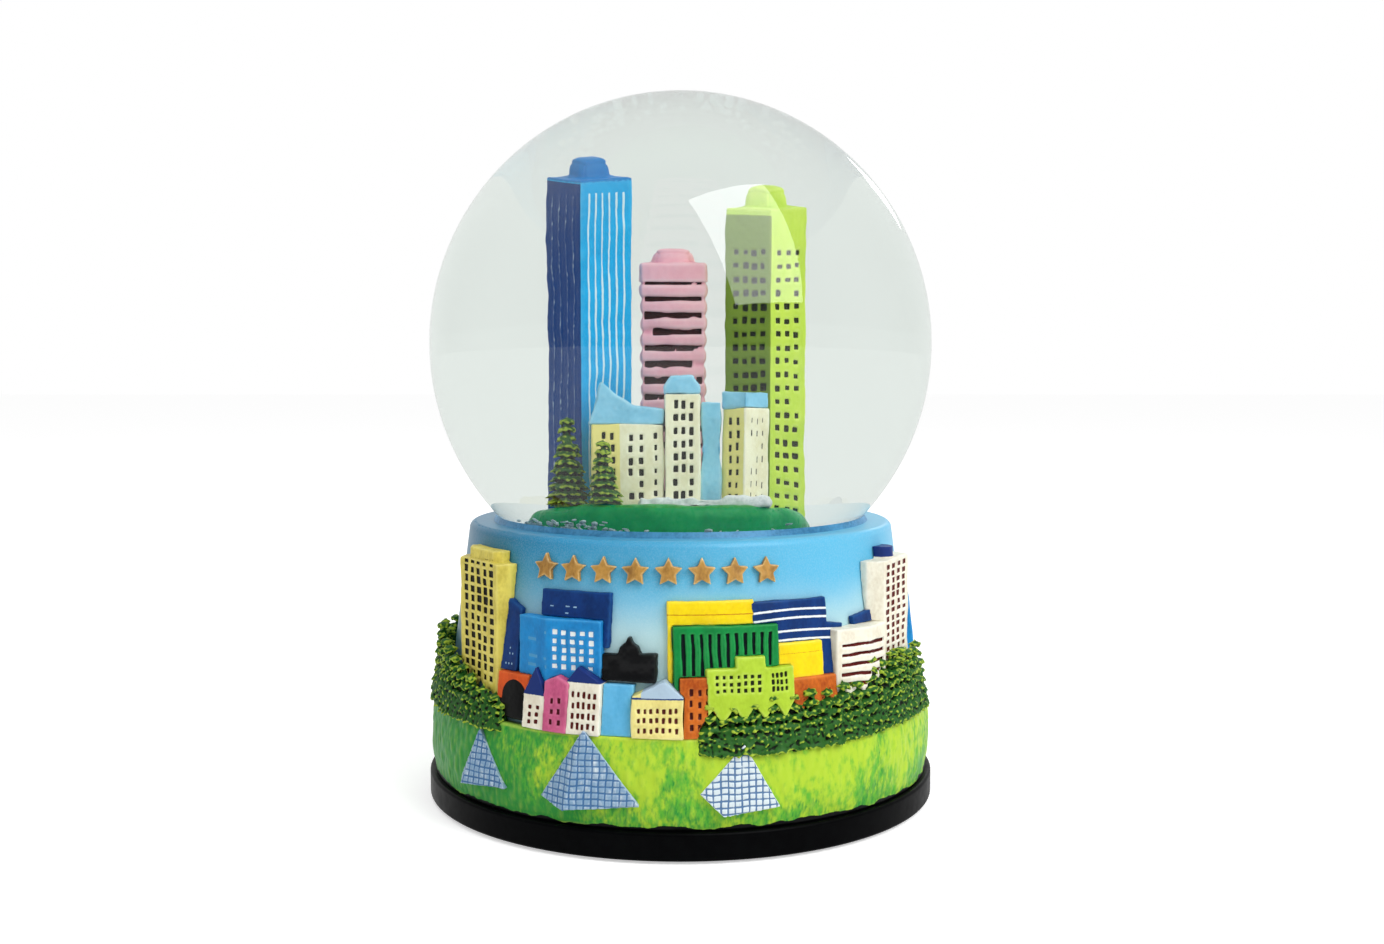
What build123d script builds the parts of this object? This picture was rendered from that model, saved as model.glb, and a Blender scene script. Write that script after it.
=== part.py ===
from build123d import *
import math
import os
from dataclasses import dataclass

# Water globe on a cast drum with a city skyline in relief.
# Millimetres, +Z up, origin at the centre of the felt's underside, front of the object towards -Y.
# A bearing is an angle round the vertical axis, 0 at the front and positive towards +X.

# ---- glass ball ----
globe_dia = 65.0
globe_wall = 1.8
neck_dia = 36.4
neck_wall = 1.8
neck_length = 10.0
neck_root_radius = 1.2

# ---- stopper and figurine base ----
stopper_fit = 0.05
flange_thickness = 2.0
plug_height = 11.8
spigot_dia = 10.0
spigot_length = 4.0
spigot_fit = 0.1
insert_clearance = 0.6
ground_offset = 1.4
ground_height = 8.3
ground_edge_radius = 1.5

# ---- cast drum ----
drum_height = 32.0
rim_land = 4.1
drum_wall = 4.5
deck_thickness = 3.0
rim_radius = 0.9
seat_dia = 46.8
seat_gap = 0.2
cement_gap = 1.0
cement_height = 8.0
bond_line = 0.05
bead_width = 1.1
bead_height = 0.7

# ---- foot plate and felt ----
foot_dia = 66.0
foot_ledge = 1.3
foot_height = 3.3
foot_edge_radius = 0.4
boss_height = 1.5
boss_fit = 0.2
felt_margin = 4.0
felt_thickness = 1.0
felt_proud = 0.3
felt_fit = 0.3

# ---- grass skirt, heights above the drum's bottom edge ----
grass_height = 10.4
grass_setback = 0.45
grass_foot_round = 0.6
grass_bulge_height = 2.6
grass_top_cover = 1.5

# ---- skyline relief ----
skyline_storeys = 15.8
skyline_star_gap = 0.7
tower_rim_margin = 3.4
tower_cap_height = 1.4
star_band_margin = 3.4
star_dia = 3.4
star_waist = 0.5
star_stand_off = 0.6
star_count = 8
star_row_start = -16.35
star_pitch = 3.75

# ---- towers in the ball: distance from each roof up to the inside of the ball's crown ----
blue_headroom = 12.4
pink_headroom = 21.3
lime_headroom = 15.4
peg_dia = 2.4
peg_length = 2.0
peg_fit = 0.1

# ---- derived places ----
foot_bottom_z = felt_proud
drum_bottom_z = foot_bottom_z + foot_height
rim_z = drum_bottom_z + drum_height
drum_top_dia = seat_dia + 2 * rim_land
drum_bottom_dia = foot_dia - 2 * foot_ledge
felt_dia = foot_dia - 2 * felt_margin
globe_r = globe_dia / 2
neck_r = neck_dia / 2
bore_r = neck_r - neck_wall
globe_z = rim_z + math.sqrt(globe_r**2 - (seat_dia / 2) ** 2)
neck_top_z = globe_z - math.sqrt(globe_r**2 - neck_r**2)
neck_end_z = neck_top_z - neck_length
flange_bottom_z = neck_end_z - flange_thickness
plug_top_z = neck_end_z + plug_height
ground_z = plug_top_z + ground_height
ground_r = bore_r - insert_clearance - ground_offset
crown_z = globe_z + globe_r - globe_wall
socket_r = neck_r + cement_gap
deck_z = flange_bottom_z - deck_thickness
grass_top_z = drum_bottom_z + grass_height
star_z = rim_z - star_band_margin
skyline_z = star_z - star_dia / 2 - skyline_star_gap
storey_height = (skyline_z - grass_top_z) / skyline_storeys
slope = (drum_bottom_dia - drum_top_dia) / 2 / drum_height


def drum_radius(z):
    return drum_top_dia / 2 + (rim_z - z) * slope


def polar(bearing, radius, z=0.0):
    angle = math.radians(bearing)
    return Vector(radius * math.sin(angle), -radius * math.cos(angle), z)


def facing(bearing, radius=0.0):
    """Plane that faces outward at a bearing, its x to the right as seen from outside and its y up."""
    angle = math.radians(bearing)
    out = (math.sin(angle), -math.cos(angle), 0)
    right = (math.cos(angle), math.sin(angle), 0)
    return Plane(origin=polar(bearing, radius), x_dir=right, z_dir=out)


def cylinder(radius, low, high, x=0.0, y=0.0):
    return Pos(x, y, (low + high) / 2) * Cylinder(radius, high - low)


def block(x0, x1, y0, y1, z0, z1):
    return Pos((x0 + x1) / 2, (y0 + y1) / 2, (z0 + z1) / 2) * Box(x1 - x0, y1 - y0, z1 - z0)


def turned_block(x, y, side_x, side_y, turn, z0, z1):
    return Pos(x, y, (z0 + z1) / 2) * Rot(0, 0, turn) * Box(side_x, side_y, z1 - z0)


def outline(points):
    return make_face(Polyline(*points, close=True))


def upright(points, low, high):
    """Vertical prism over a plan outline."""
    return Pos(0, 0, low) * extrude(outline([(p.X, p.Y) for p in points]), high - low)


def across(points, y0, y1):
    """Prism along Y over an outline in X and Z."""
    plane = Plane(origin=(0, y0, 0), x_dir=(1, 0, 0), z_dir=(0, -1, 0))
    return extrude(plane * outline(points), -(y1 - y0))


def polyhedron(points, faces):
    return Solid(Shell([Face(Wire.make_polygon([points[i] for i in f])) for f in faces]))


# ---- ball, neck, stopper and liquid ----
def make_globe():
    outside = Pos(0, 0, globe_z) * Sphere(globe_r) + cylinder(neck_r, neck_end_z, globe_z)
    root = [e for e in outside.edges().filter_by(GeomType.CIRCLE) if abs(e.center().Z - neck_top_z) < 0.01]
    outside = fillet(root, neck_root_radius)
    inside = Pos(0, 0, globe_z) * Sphere(globe_r - globe_wall) + cylinder(bore_r, neck_end_z - 1, globe_z)
    return outside - inside


def make_stopper():
    plug = cylinder(neck_r, flange_bottom_z, neck_end_z)
    plug += cylinder(bore_r - stopper_fit, neck_end_z, plug_top_z)
    hole = cylinder(spigot_dia / 2 + spigot_fit, plug_top_z - spigot_length - spigot_fit, plug_top_z)
    return plug - hole


def make_ground():
    disc = cylinder(ground_r, plug_top_z, ground_z, x=-ground_offset)
    disc = fillet(disc.edges().sort_by(Axis.Z)[-1], ground_edge_radius)
    return disc + cylinder(spigot_dia / 2, plug_top_z - spigot_length, plug_top_z)


def make_liquid(contents):
    """Liquid that fills the ball round everything in it, down to the top of the stopper."""
    inside = Pos(0, 0, globe_z) * Sphere(globe_r - globe_wall - bond_line)
    inside += cylinder(bore_r - bond_line, plug_top_z, globe_z)
    inside -= cylinder(bore_r, neck_end_z, plug_top_z)
    for solid in contents:
        inside -= solid
    return inside


# ---- drum, seat ring, cement, foot and felt ----
def drum_cone(extra, low=drum_bottom_z, high=rim_z):
    """Solid cone of the drum's outside, with extra radius, between two heights."""
    return Pos(0, 0, (low + high) / 2) * Cone(drum_radius(low) + extra, drum_radius(high) + extra, high - low)


def make_drum():
    drum = drum_cone(0)
    drum = fillet(drum.edges().sort_by(Axis.Z)[-1], rim_radius)
    drum -= Pos(0, 0, globe_z) * Sphere(globe_r + seat_gap)
    drum -= cylinder(socket_r, flange_bottom_z, rim_z)
    return drum - drum_cone(-drum_wall, drum_bottom_z, deck_z)


def make_cement():
    low = neck_end_z
    return cylinder(socket_r - bond_line, low, low + cement_height) - cylinder(
        neck_r + bond_line, low, low + cement_height
    )


def make_bead():
    low_r = seat_dia / 2 + bead_width
    high_r = low_r - bead_width / 3
    ring = Pos(0, 0, rim_z + bead_height / 2) * Cone(low_r, high_r, bead_height)
    return ring - Pos(0, 0, globe_z) * Sphere(globe_r + bond_line)


def make_foot():
    plate = cylinder(foot_dia / 2, foot_bottom_z, drum_bottom_z)
    plate = fillet(plate.edges().filter_by(GeomType.CIRCLE), foot_edge_radius)
    boss_r = drum_radius(drum_bottom_z + boss_height) - drum_wall - boss_fit
    plate += cylinder(boss_r, drum_bottom_z, drum_bottom_z + boss_height)
    recess_z = felt_thickness
    return plate - cylinder(felt_dia / 2 + felt_fit, 0, recess_z)


def make_felt():
    return cylinder(felt_dia / 2, 0, felt_thickness)


def make_grass():
    bulge_z = drum_bottom_z + grass_bulge_height
    widest = foot_dia / 2 - grass_setback
    foot_r = widest - grass_foot_round
    inner_low = drum_radius(drum_bottom_z) + bond_line
    inner_high = drum_radius(grass_top_z) + bond_line
    high_r = drum_radius(grass_top_z) + grass_top_cover
    line = Polyline((inner_high, grass_top_z), (inner_low, drum_bottom_z), (foot_r, drum_bottom_z))
    line += Spline((foot_r, drum_bottom_z), (widest, bulge_z), (high_r, grass_top_z))
    line += Line((high_r, grass_top_z), (inner_high, grass_top_z))
    profile = Plane.XZ * make_face(line)
    return revolve(profile, Axis.Z)


# ---- relief on the drum ----
@dataclass
class Relief:
    """One cast building, tree belt or ornament on the drum; a lower layer stands nearer the viewer."""

    name: str
    layer: int
    solid: object


def slab(bearing, points, stand_off):
    """Slab that follows the drum, cut to an outline of (across, height) seen square on at a bearing."""
    low = min(p[1] for p in points)
    high = max(p[1] for p in points)
    reach = drum_bottom_dia
    prism = extrude(facing(bearing) * outline(points), reach)
    return drum_cone(stand_off, low, high) & prism


def facade(bearing, points, stand_off):
    """Slab whose outline is (degrees of the drum's turn at its foot, height); neighbours keep touching."""
    per_degree = math.radians(drum_radius(min(p[1] for p in points)))
    return slab(bearing, [(turn * per_degree, z) for turn, z in points], stand_off)


def walls(width, low, high):
    return [(-width / 2, low), (width / 2, low), (width / 2, high), (-width / 2, high)]


def gabled(width, low, eave, peak, peak_at=0.0):
    half = width / 2
    return [(-half, low), (half, low), (half, eave), (peak_at, peak), (-half, eave)]


def stepped(width, low, shoulder, high, inset):
    half = width / 2
    top = half - inset
    return [(-half, low), (half, low), (half, shoulder), (top, shoulder), (top, high), (-top, high)] + [
        (-top, shoulder),
        (-half, shoulder),
    ]


def widest(low, high):
    return max(drum_radius(low), drum_radius(high))


def prow(edges, low, high):
    """Upright block with faces that meet at proud corners; edges are (bearing, stand-off)."""
    front = [polar(bearing, widest(low, high) + out) for bearing, out in edges]
    back_r = drum_radius(low) / 2
    back = [polar(edges[-1][0], back_r), polar(edges[0][0], back_r)]
    return upright(front + back, low, high)


def pyramid(apex, left, ridge, right):
    """Glass-house pyramid on the lawn; each corner is (bearing, height, stand-off).

    The apex stands off from the drum behind it, the foot's corners from the drum's bottom edge.
    """
    base_r = drum_bottom_dia / 2
    corners = [polar(apex[0], drum_radius(up(apex[1])) + apex[2], up(apex[1]))]
    corners += [polar(b, base_r + out, up(h)) for b, h, out in (left, ridge, right)]
    inner = polar(apex[0], base_r / 2, corners[2].Z)
    points = corners + [inner]
    return polyhedron(points, [(0, 1, 2), (0, 2, 3), (0, 3, 4), (0, 4, 1), (1, 4, 2), (2, 4, 3)])


def tree(bearing, foot, storeys, spread, stand_off):
    """Bushy tree, as high as so many storeys of the town behind it; its spread is in degrees."""
    half = spread / 2
    height = storeys * storey_height
    points = [(-half, foot), (half, foot), (half * 0.8, foot + height * 0.6), (0, foot + height)]
    points.append((-half * 0.8, foot + height * 0.6))
    return facade(bearing, points, stand_off)


def tree_belt(trees, stand_off):
    belt = tree(*trees[0], stand_off)
    for spec in trees[1:]:
        belt += tree(*spec, stand_off)
    return belt


def star_points():
    outer = star_dia / 2
    inner = outer * star_waist
    points = []
    for i in range(10):
        radius = outer if i % 2 == 0 else inner
        angle = math.radians(90 + 36 * i)
        points.append((radius * math.cos(angle), star_z + radius * math.sin(angle)))
    return points


def make_stars():
    stars = []
    for i in range(star_count):
        bearing = math.degrees((star_row_start + i * star_pitch) / drum_radius(star_z))
        raw = slab(bearing, star_points(), star_stand_off)
        stars.append(raw - drum_cone(bond_line))
    return Compound(children=stars)


def up(height):
    return drum_bottom_z + height


def town(storeys):
    """Height of a storey of the town; the storeys fill the band between the lawn and the stars."""
    return grass_top_z + storeys * storey_height


def front_row():
    """Small houses along the front edge of the town, nearest the viewer."""
    eaves = town(4.0)
    return [
        Relief("orange_archway", 3, facade(-39.0, walls(9.5, town(0.6), town(5.8)), 1.4)),
        Relief("white_cottage", 2, facade(-32.1, gabled(5.9, grass_top_z, eaves, town(7.0)), 1.9)),
        Relief("pink_house", 2, facade(-26.6, gabled(6.0, grass_top_z, town(5.6), town(6.3)), 2.0)),
        Relief(
            "white_apartments", 2, facade(-20.4, gabled(8.1, grass_top_z, town(5.9), town(7.6), -1.5), 2.0)
        ),
        Relief("light_blue_block", 3, facade(-13.5, walls(7.7, grass_top_z, town(5.8)), 1.4)),
        Relief("cream_house", 2, facade(-4.7, gabled(11.1, grass_top_z, town(4.6), town(6.4), 1.5), 2.0)),
        Relief("orange_house", 2, facade(3.6, walls(7.9, grass_top_z, town(6.7)), 1.8)),
        Relief("lime_town_hall", 2, facade(14.8, stepped(19.3, grass_top_z, town(7.6), town(8.9), 6.4), 2.0)),
        Relief("orange_block", 3, facade(30.0, walls(11.8, town(1.2), town(6.0)), 1.4)),
        Relief(
            "white_terraced_block",
            3,
            prow([(36.0, 0.7), (44.5, 1.7), (52.6, 0.9)], town(1.2), town(11.0)),
        ),
    ]


def tall_towers():
    """Two towers that stand clear of the town near either side."""
    foot = town(0.4)
    roof = rim_z - tower_rim_margin
    cap = roof + tower_cap_height
    cream = prow([(-66.0, -1.2), (-62.5, 0.2), (-45.0, 0.4), (-43.5, -1.2)], foot, roof)
    cream += prow([(-62.0, -1.2), (-59.0, -0.4), (-48.0, -0.2), (-46.5, -1.2)], foot, cap)
    white = prow([(50.0, -1.2), (53.0, 0.4), (69.5, 0.2), (72.5, -1.6)], foot, roof)
    cap_centre = polar(60.0, widest(foot, roof) - 1.9)
    white += cylinder(1.5, roof, cap, x=cap_centre.X, y=cap_centre.Y)
    return [Relief("cream_tower", 3, cream), Relief("white_tower", 3, white)]


def back_row():
    """Larger blocks and slabs that rise behind the houses."""
    slim = [(-3.3, town(5.8)), (3.3, town(5.8)), (3.3, town(13.2)), (-3.3, town(14.7))]
    domed = [(-6.1, town(6.0)), (6.1, town(6.0)), (6.1, town(9.1)), (2.6, town(9.1)), (2.1, town(9.9))]
    domed += [(0.8, town(10.4)), (0.4, town(11.0)), (-0.4, town(11.0)), (-0.8, town(10.4))]
    domed += [(-2.1, town(9.9)), (-2.6, town(9.1)), (-6.1, town(9.1))]
    striped = [(-10.8, town(9.6)), (5.0, town(9.6)), (5.0, town(5.1)), (10.8, town(5.1)), (10.8, town(9.6))]
    striped += [(12.7, town(9.6)), (12.7, town(11.5)), (8.1, town(11.8)), (8.1, town(14.8))]
    striped.append((-10.8, town(14.8)))
    sloped = [(-8.5, town(9.0)), (8.5, town(9.0)), (8.5, town(13.2)), (-8.5, town(12.0))]
    return [
        Relief("navy_slim_tower", 5, facade(-42.6, slim, 0.8)),
        Relief(
            "blue_two_faced_block",
            4,
            prow([(-38.4, 0.3), (-29.8, 1.0), (-17.3, 0.3)], town(2.6), town(12.7)),
        ),
        Relief("navy_slab", 6, facade(-24.7, walls(17.7, town(9.6), town(15.8)), 0.7)),
        Relief("black_domed_hall", 4, facade(-11.2, domed, 1.1)),
        Relief("yellow_slab", 6, facade(6.8, walls(19.2, town(5.8), town(15.0)), 0.7)),
        Relief("green_ribbed_block", 4, facade(10.0, walls(23.4, town(5.2), town(12.3)), 1.4)),
        Relief("striped_tower", 6, facade(27.0, striped, 0.8)),
        Relief("yellow_block", 4, facade(26.9, walls(11.8, town(4.8), town(10.0)), 1.2)),
        Relief("navy_side_block", 6, facade(52.0, sloped, 0.8)),
    ]


def rear_town():
    """Buildings round the back of the drum, in the same manner as the front."""
    roof = rim_z - tower_rim_margin
    return [
        Relief(
            "rear_blue_tower", 5, facade(92.0, stepped(12.3, grass_top_z, town(12.1), town(13.5), 2.3), 1.2)
        ),
        Relief("rear_orange_houses", 2, facade(103.0, gabled(10.4, grass_top_z, town(4.2), town(6.5)), 1.9)),
        Relief("rear_yellow_block", 5, facade(118.0, walls(16.1, grass_top_z, town(10.2)), 0.9)),
        Relief("rear_pink_house", 2, facade(131.0, gabled(7.9, grass_top_z, town(4.6), town(6.8)), 1.9)),
        Relief("rear_white_tower", 4, facade(146.0, stepped(13.2, grass_top_z, roof - 4, roof, 3.0), 1.3)),
        Relief("rear_green_block", 4, facade(166.0, walls(17.0, grass_top_z, town(8.8)), 1.3)),
        Relief(
            "rear_cream_hall", 2, facade(186.0, stepped(16.2, grass_top_z, town(4.8), town(6.6), 4.9), 1.9)
        ),
        Relief("rear_navy_tower", 5, facade(205.0, walls(12.1, grass_top_z, town(13.2)), 0.9)),
    ]


def belts():
    """Rows of bushy trees that stand in front of the town."""
    left = []
    for i in range(8):
        left.append((-75.0 + i * 4.4, up(9.6), 8.6 - 0.75 * i, 6.8))
    right = []
    for i in range(9):
        right.append((6.5 + i * 4.4, up(8.6 + 0.05 * i), 5.0 + 0.1 * i, 6.8))
    for i in range(7):
        right.append((46.0 + i * 4.4, up(9.2), 7.6, 6.8))
    rear = []
    for i in range(17):
        rear.append((217.0 + i * 4.0, up(9.6), 7.4 + 1.0 * math.sin(i * 1.9), 6.8))
    return [
        Relief("left_tree_belt", 1, tree_belt(left, 2.4)),
        Relief("right_tree_belt", 1, tree_belt(right, 2.3)),
        Relief("rear_tree_belt", 1, tree_belt(rear, 2.2)),
    ]


def pyramids():
    """Three glass-house pyramids on the lawn."""
    left = pyramid((-46.3, 9.5, 2.35), (-51.9, 3.4, 1.4), (-49.6, 2.6, 2.6), (-38.1, 3.0, 1.5))
    centre = pyramid((-19.5, 11.2, 2.6), (-28.7, 3.2, 1.5), (-22.8, 2.2, 2.9), (-8.0, 3.0, 1.5))
    right = pyramid((12.6, 9.8, 2.4), (3.7, 4.4, 1.3), (8.3, 1.8, 1.75), (19.7, 2.6, 1.7))
    return [
        Relief("left_pyramid", 0, left),
        Relief("centre_pyramid", 0, centre),
        Relief("right_pyramid", 0, right),
    ]


def boxes_meet(a, b):
    p, q = a.bounding_box(), b.bounding_box()
    apart = p.min.X > q.max.X or q.min.X > p.max.X or p.min.Y > q.max.Y or q.min.Y > p.max.Y
    return not (apart or p.min.Z > q.max.Z or q.min.Z > p.max.Z)


def fit_relief(pieces):
    """Cuts each piece to sit on the drum and behind every piece that stands in front of it."""
    core = drum_cone(bond_line)
    fitted = {}
    nearer = []
    for piece in sorted(pieces, key=lambda p: p.layer):
        solid = piece.solid - core
        for other in nearer:
            if boxes_meet(piece.solid, other):
                solid -= other
        fitted[piece.name] = solid
        nearer.append(piece.solid)
    return fitted


# ---- figurine in the ball ----
@dataclass
class Tower:
    """One free-standing tower on the ground disc, with a smaller cap on its roof and a peg under it."""

    x: float
    y: float
    side_x: float
    side_y: float
    turn: float
    roof: float
    cap_x: float
    cap_y: float
    cap_height: float

    def solid(self):
        shoulder = self.roof - self.cap_height
        body = turned_block(self.x, self.y, self.side_x, self.side_y, self.turn, ground_z, shoulder)
        cap = turned_block(self.x, self.y, self.cap_x, self.cap_y, self.turn, shoulder, self.roof)
        return body + cap + cylinder(peg_dia / 2, ground_z - peg_length, ground_z, x=self.x, y=self.y)

    def socket(self):
        """Hole in the ground disc that takes the peg."""
        low = ground_z - peg_length - peg_fit
        return cylinder(peg_dia / 2 + peg_fit, low, ground_z, x=self.x, y=self.y)


TOWERS = {
    "blue_tower": Tower(-8.9, 1.0, 6.0, 6.0, 31.0, crown_z - blue_headroom, 3.6, 3.2, 2.0),
    "pink_tower": Tower(-0.7, 6.0, 6.4, 5.0, 0.0, crown_z - pink_headroom, 4.0, 3.4, 1.4),
    "lime_tower": Tower(8.2, 3.0, 5.6, 5.6, -35.0, crown_z - lime_headroom, 3.4, 3.4, 2.0),
}


def make_hotel():
    """Gabled hotel in front of the towers; heights are above the ground disc."""
    g = ground_z
    east_x = 6.6
    west_roof = [(-9.3, g + 8.8), (-8.1, g + 13.2), (-6.5, g + 11.7), (-4.9, g + 10.7), (-1.7, g + 10.3)]
    west_roof.append((-1.7, g + 8.8))
    cap = [(-1.6, g + 11.9), (2.0, g + 11.9), (2.0, g + 12.6), (1.2, g + 13.7), (-1.0, g + 13.7)]
    cap.append((-1.6, g + 12.6))
    return {
        "hotel_west_wing": block(-9.1, -1.7, -8.3, -4.6, g, g + 8.8),
        "hotel_west_roof": across(west_roof, -8.3, -4.6),
        "hotel_centre_tower": block(-1.6, 2.0, -8.8, -4.6, g, g + 11.9),
        "hotel_centre_cap": across(cap, -8.8, -4.6),
        "hotel_link": block(2.1, 4.1, -7.0, -4.6, g, g + 11.1),
        "hotel_east_wing": turned_block(east_x, -6.4, 3.4, 3.4, 45, g, g + 10.4),
        "hotel_east_roof": turned_block(east_x, -6.4, 3.4, 3.4, 45, g + 10.4, g + 12.1),
    }


def conifer(x, y, radius, height):
    tiers = 4
    points = [(0, ground_z)]
    for i in range(tiers):
        low = ground_z + height * i / (tiers + 1)
        points.append((radius * (1 - i / (tiers + 0.5)), low))
        points.append((radius * (1 - i / (tiers + 0.5)) * 0.45, low + height / (tiers + 1)))
    points.append((0, ground_z + height))
    return Pos(x, y, 0) * revolve(Plane.XZ * outline(points), Axis.Z)


def make_garden(hotel):
    bank = block(-4.2, 9.3, -9.9, -8.0, ground_z, ground_z + 0.9)
    for solid in hotel.values():
        bank -= solid
    return {
        "tall_conifer": conifer(-11.5, -5.2, 2.2, 10.8),
        "short_conifer": conifer(-8.0, -10.3, 1.9, 8.0),
        "snow_bank": bank,
    }


def make_flakes():
    """Chips of snow that have settled on the glass round the figurine."""
    chips = []
    inside_r = globe_r - globe_wall - 0.4
    for i in range(36):
        bearing = i * 137.5
        ring_r = bore_r + 1.6 + 3.0 * ((i * 0.618) % 1.0)
        centre_z = globe_z - math.sqrt(inside_r**2 - ring_r**2)
        place = polar(bearing, ring_r, centre_z)
        inward = Vector(0, 0, globe_z) - place
        chips.append(Plane(origin=place, z_dir=inward) * Box(0.8, 0.7, 0.15))
    return Compound(children=chips)


def make_figurine():
    ground = make_ground()
    for spec in TOWERS.values():
        ground -= spec.socket()
    towers = {name: spec.solid() for name, spec in TOWERS.items()}
    hotel = make_hotel()
    return {"ground_disc": ground, **towers, **hotel, **make_garden(hotel)}


def make_parts():
    figurine = make_figurine()
    flakes = make_flakes()
    contents = list(figurine.values()) + [flakes] + [spec.socket() for spec in TOWERS.values()]
    relief = pyramids() + belts() + front_row() + tall_towers() + back_row() + rear_town()
    grass = make_grass()
    for piece in relief:
        if piece.layer == 0 or boxes_meet(grass, piece.solid):
            grass -= piece.solid
    parts = {
        "glass_globe": make_globe(),
        "neck_stopper": make_stopper(),
        "liquid_fill": make_liquid(contents),
        "snow_flakes": flakes,
        "base_drum": make_drum(),
        "neck_cement": make_cement(),
        "sealant_bead": make_bead(),
        "grass_skirt": grass,
        "foot_plate": make_foot(),
        "felt_pad": make_felt(),
        "gold_stars": make_stars(),
    }
    parts.update(figurine)
    parts.update(fit_relief(relief))
    return parts


def main():
    os.makedirs("parts", exist_ok=True)
    for name, solid in make_parts().items():
        export_step(solid, f"parts/{name}.step")
        print(name, len(solid.solids()), round(solid.volume, 2))


main()
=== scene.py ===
import logging
import math
from dataclasses import dataclass
from enum import Enum
from typing import Callable, Iterable, Optional, Sequence, Union

import bmesh
import bpy
import numpy as np
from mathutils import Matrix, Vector


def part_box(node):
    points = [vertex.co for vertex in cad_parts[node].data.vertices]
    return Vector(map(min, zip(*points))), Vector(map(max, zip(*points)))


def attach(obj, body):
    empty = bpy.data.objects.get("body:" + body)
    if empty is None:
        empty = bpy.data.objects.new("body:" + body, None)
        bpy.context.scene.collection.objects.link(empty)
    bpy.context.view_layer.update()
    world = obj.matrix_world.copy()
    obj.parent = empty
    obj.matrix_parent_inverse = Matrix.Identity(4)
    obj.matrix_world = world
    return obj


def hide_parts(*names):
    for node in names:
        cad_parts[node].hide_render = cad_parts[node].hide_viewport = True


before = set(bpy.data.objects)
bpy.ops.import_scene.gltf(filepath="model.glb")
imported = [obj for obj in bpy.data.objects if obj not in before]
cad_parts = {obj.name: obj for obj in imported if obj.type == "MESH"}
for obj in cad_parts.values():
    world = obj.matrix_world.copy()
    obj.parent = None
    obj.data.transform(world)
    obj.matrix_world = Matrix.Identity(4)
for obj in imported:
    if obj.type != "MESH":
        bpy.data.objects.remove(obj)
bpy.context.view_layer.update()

log = logging.getLogger("snow_globe")

MM = 0.001
GLASS_WALL = 1.8
GLASS_IOR = 1.5
LIQUID_IOR = 1.333
EDGE = 0.12  # width over which a mark fades, in millimetres
CLEAR = (1.0, 1.0, 1.0)
Colour = tuple[float, float, float]
Array = np.ndarray


# ---------------------------------------------------------------- colours and noise
def paint(code: str) -> Colour:
    """Turns a paint chart's hex code into linear light.

    Args:
        code: six hex digits.

    Returns:
        Red, green and blue in linear light.
    """
    parts = [int(code[i : i + 2], 16) / 255 for i in (0, 2, 4)]
    return tuple(c / 12.92 if c <= 0.04045 else ((c + 0.055) / 1.055) ** 2.4 for c in parts)


def value_noise(points: Array, size: float, seed: int) -> Array:
    """Smooth random values over space.

    Args:
        points: places in millimetres, one row each.
        size: distance over which the values change.
        seed: picks another pattern.

    Returns:
        One value per place, from -1 to 1.
    """
    spot = points / size + seed * 13.7
    cell = np.floor(spot).astype(np.int64)
    part = spot - cell
    part = part * part * (3 - 2 * part)
    total = np.zeros(len(points))
    for corner in range(8):
        step = np.array([corner & 1, (corner >> 1) & 1, (corner >> 2) & 1])
        key = (cell + step) @ np.array([73856093, 19349663, 83492791]) + seed * 7919
        key = (key ^ (key >> 13)) * 1274126177
        value = ((key ^ (key >> 16)) & 0xFFFF) / 32767.5 - 1
        weight = np.prod(np.where(step == 1, part, 1 - part), axis=1)
        total += value * weight
    return total


def ramp(value: Array, low: float, high: float) -> Array:
    """Smooth step from 0 at low to 1 at high."""
    t = np.clip((value - low) / (high - low), 0, 1)
    return t * t * (3 - 2 * t)


def outward(bearing: float) -> Array:
    """Unit vector that points away from the axis at a bearing; 0 is the front."""
    angle = math.radians(bearing)
    return np.array([math.sin(angle), -math.cos(angle), 0.0])


def rightward(bearing: float) -> Array:
    """Unit vector to the right for someone who looks at the object from a bearing."""
    angle = math.radians(bearing)
    return np.array([math.cos(angle), math.sin(angle), 0.0])


def bearing_of(points: Array) -> Array:
    """Bearing of each place round the axis, in degrees."""
    return np.degrees(np.arctan2(points[:, 0], -points[:, 1]))


def soft_mask(depth: Array, edge: float = EDGE) -> Array:
    """Mask from how far each point lies inside an outline, soft over the edge's width."""
    return np.clip(depth / edge + 0.5, 0, 1)


def read_vectors(items: bpy.types.bpy_prop_collection, name: str) -> Array:
    """One vector property of all items, one row each."""
    values = np.empty(len(items) * 3)
    items.foreach_get(name, values)
    return values.reshape(-1, 3)


def node_points(node: str) -> Array:
    """Points of a CAD node, in millimetres."""
    return read_vectors(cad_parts[node].data.vertices, "co") / MM


def extent(node: str) -> tuple[Array, Array]:
    """Lowest and highest corner of a CAD node's box, in millimetres."""
    low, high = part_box(node)
    return np.array(low) / MM, np.array(high) / MM


def ball_size() -> tuple[float, float]:
    """Radius of the ball and height of its middle, in millimetres."""
    low, high = extent("glass_globe")
    radius = round((high[0] - low[0]) * 2) / 4
    return radius, high[2] - radius


# ---------------------------------------------------------------- shader nodes
Input = Union["Value", float, int, Sequence[float]]
CAMERA, SHADOW, GLOSSY, TRANSMISSION = 0, 1, 3, 6  # outputs of a Light Path node


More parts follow.
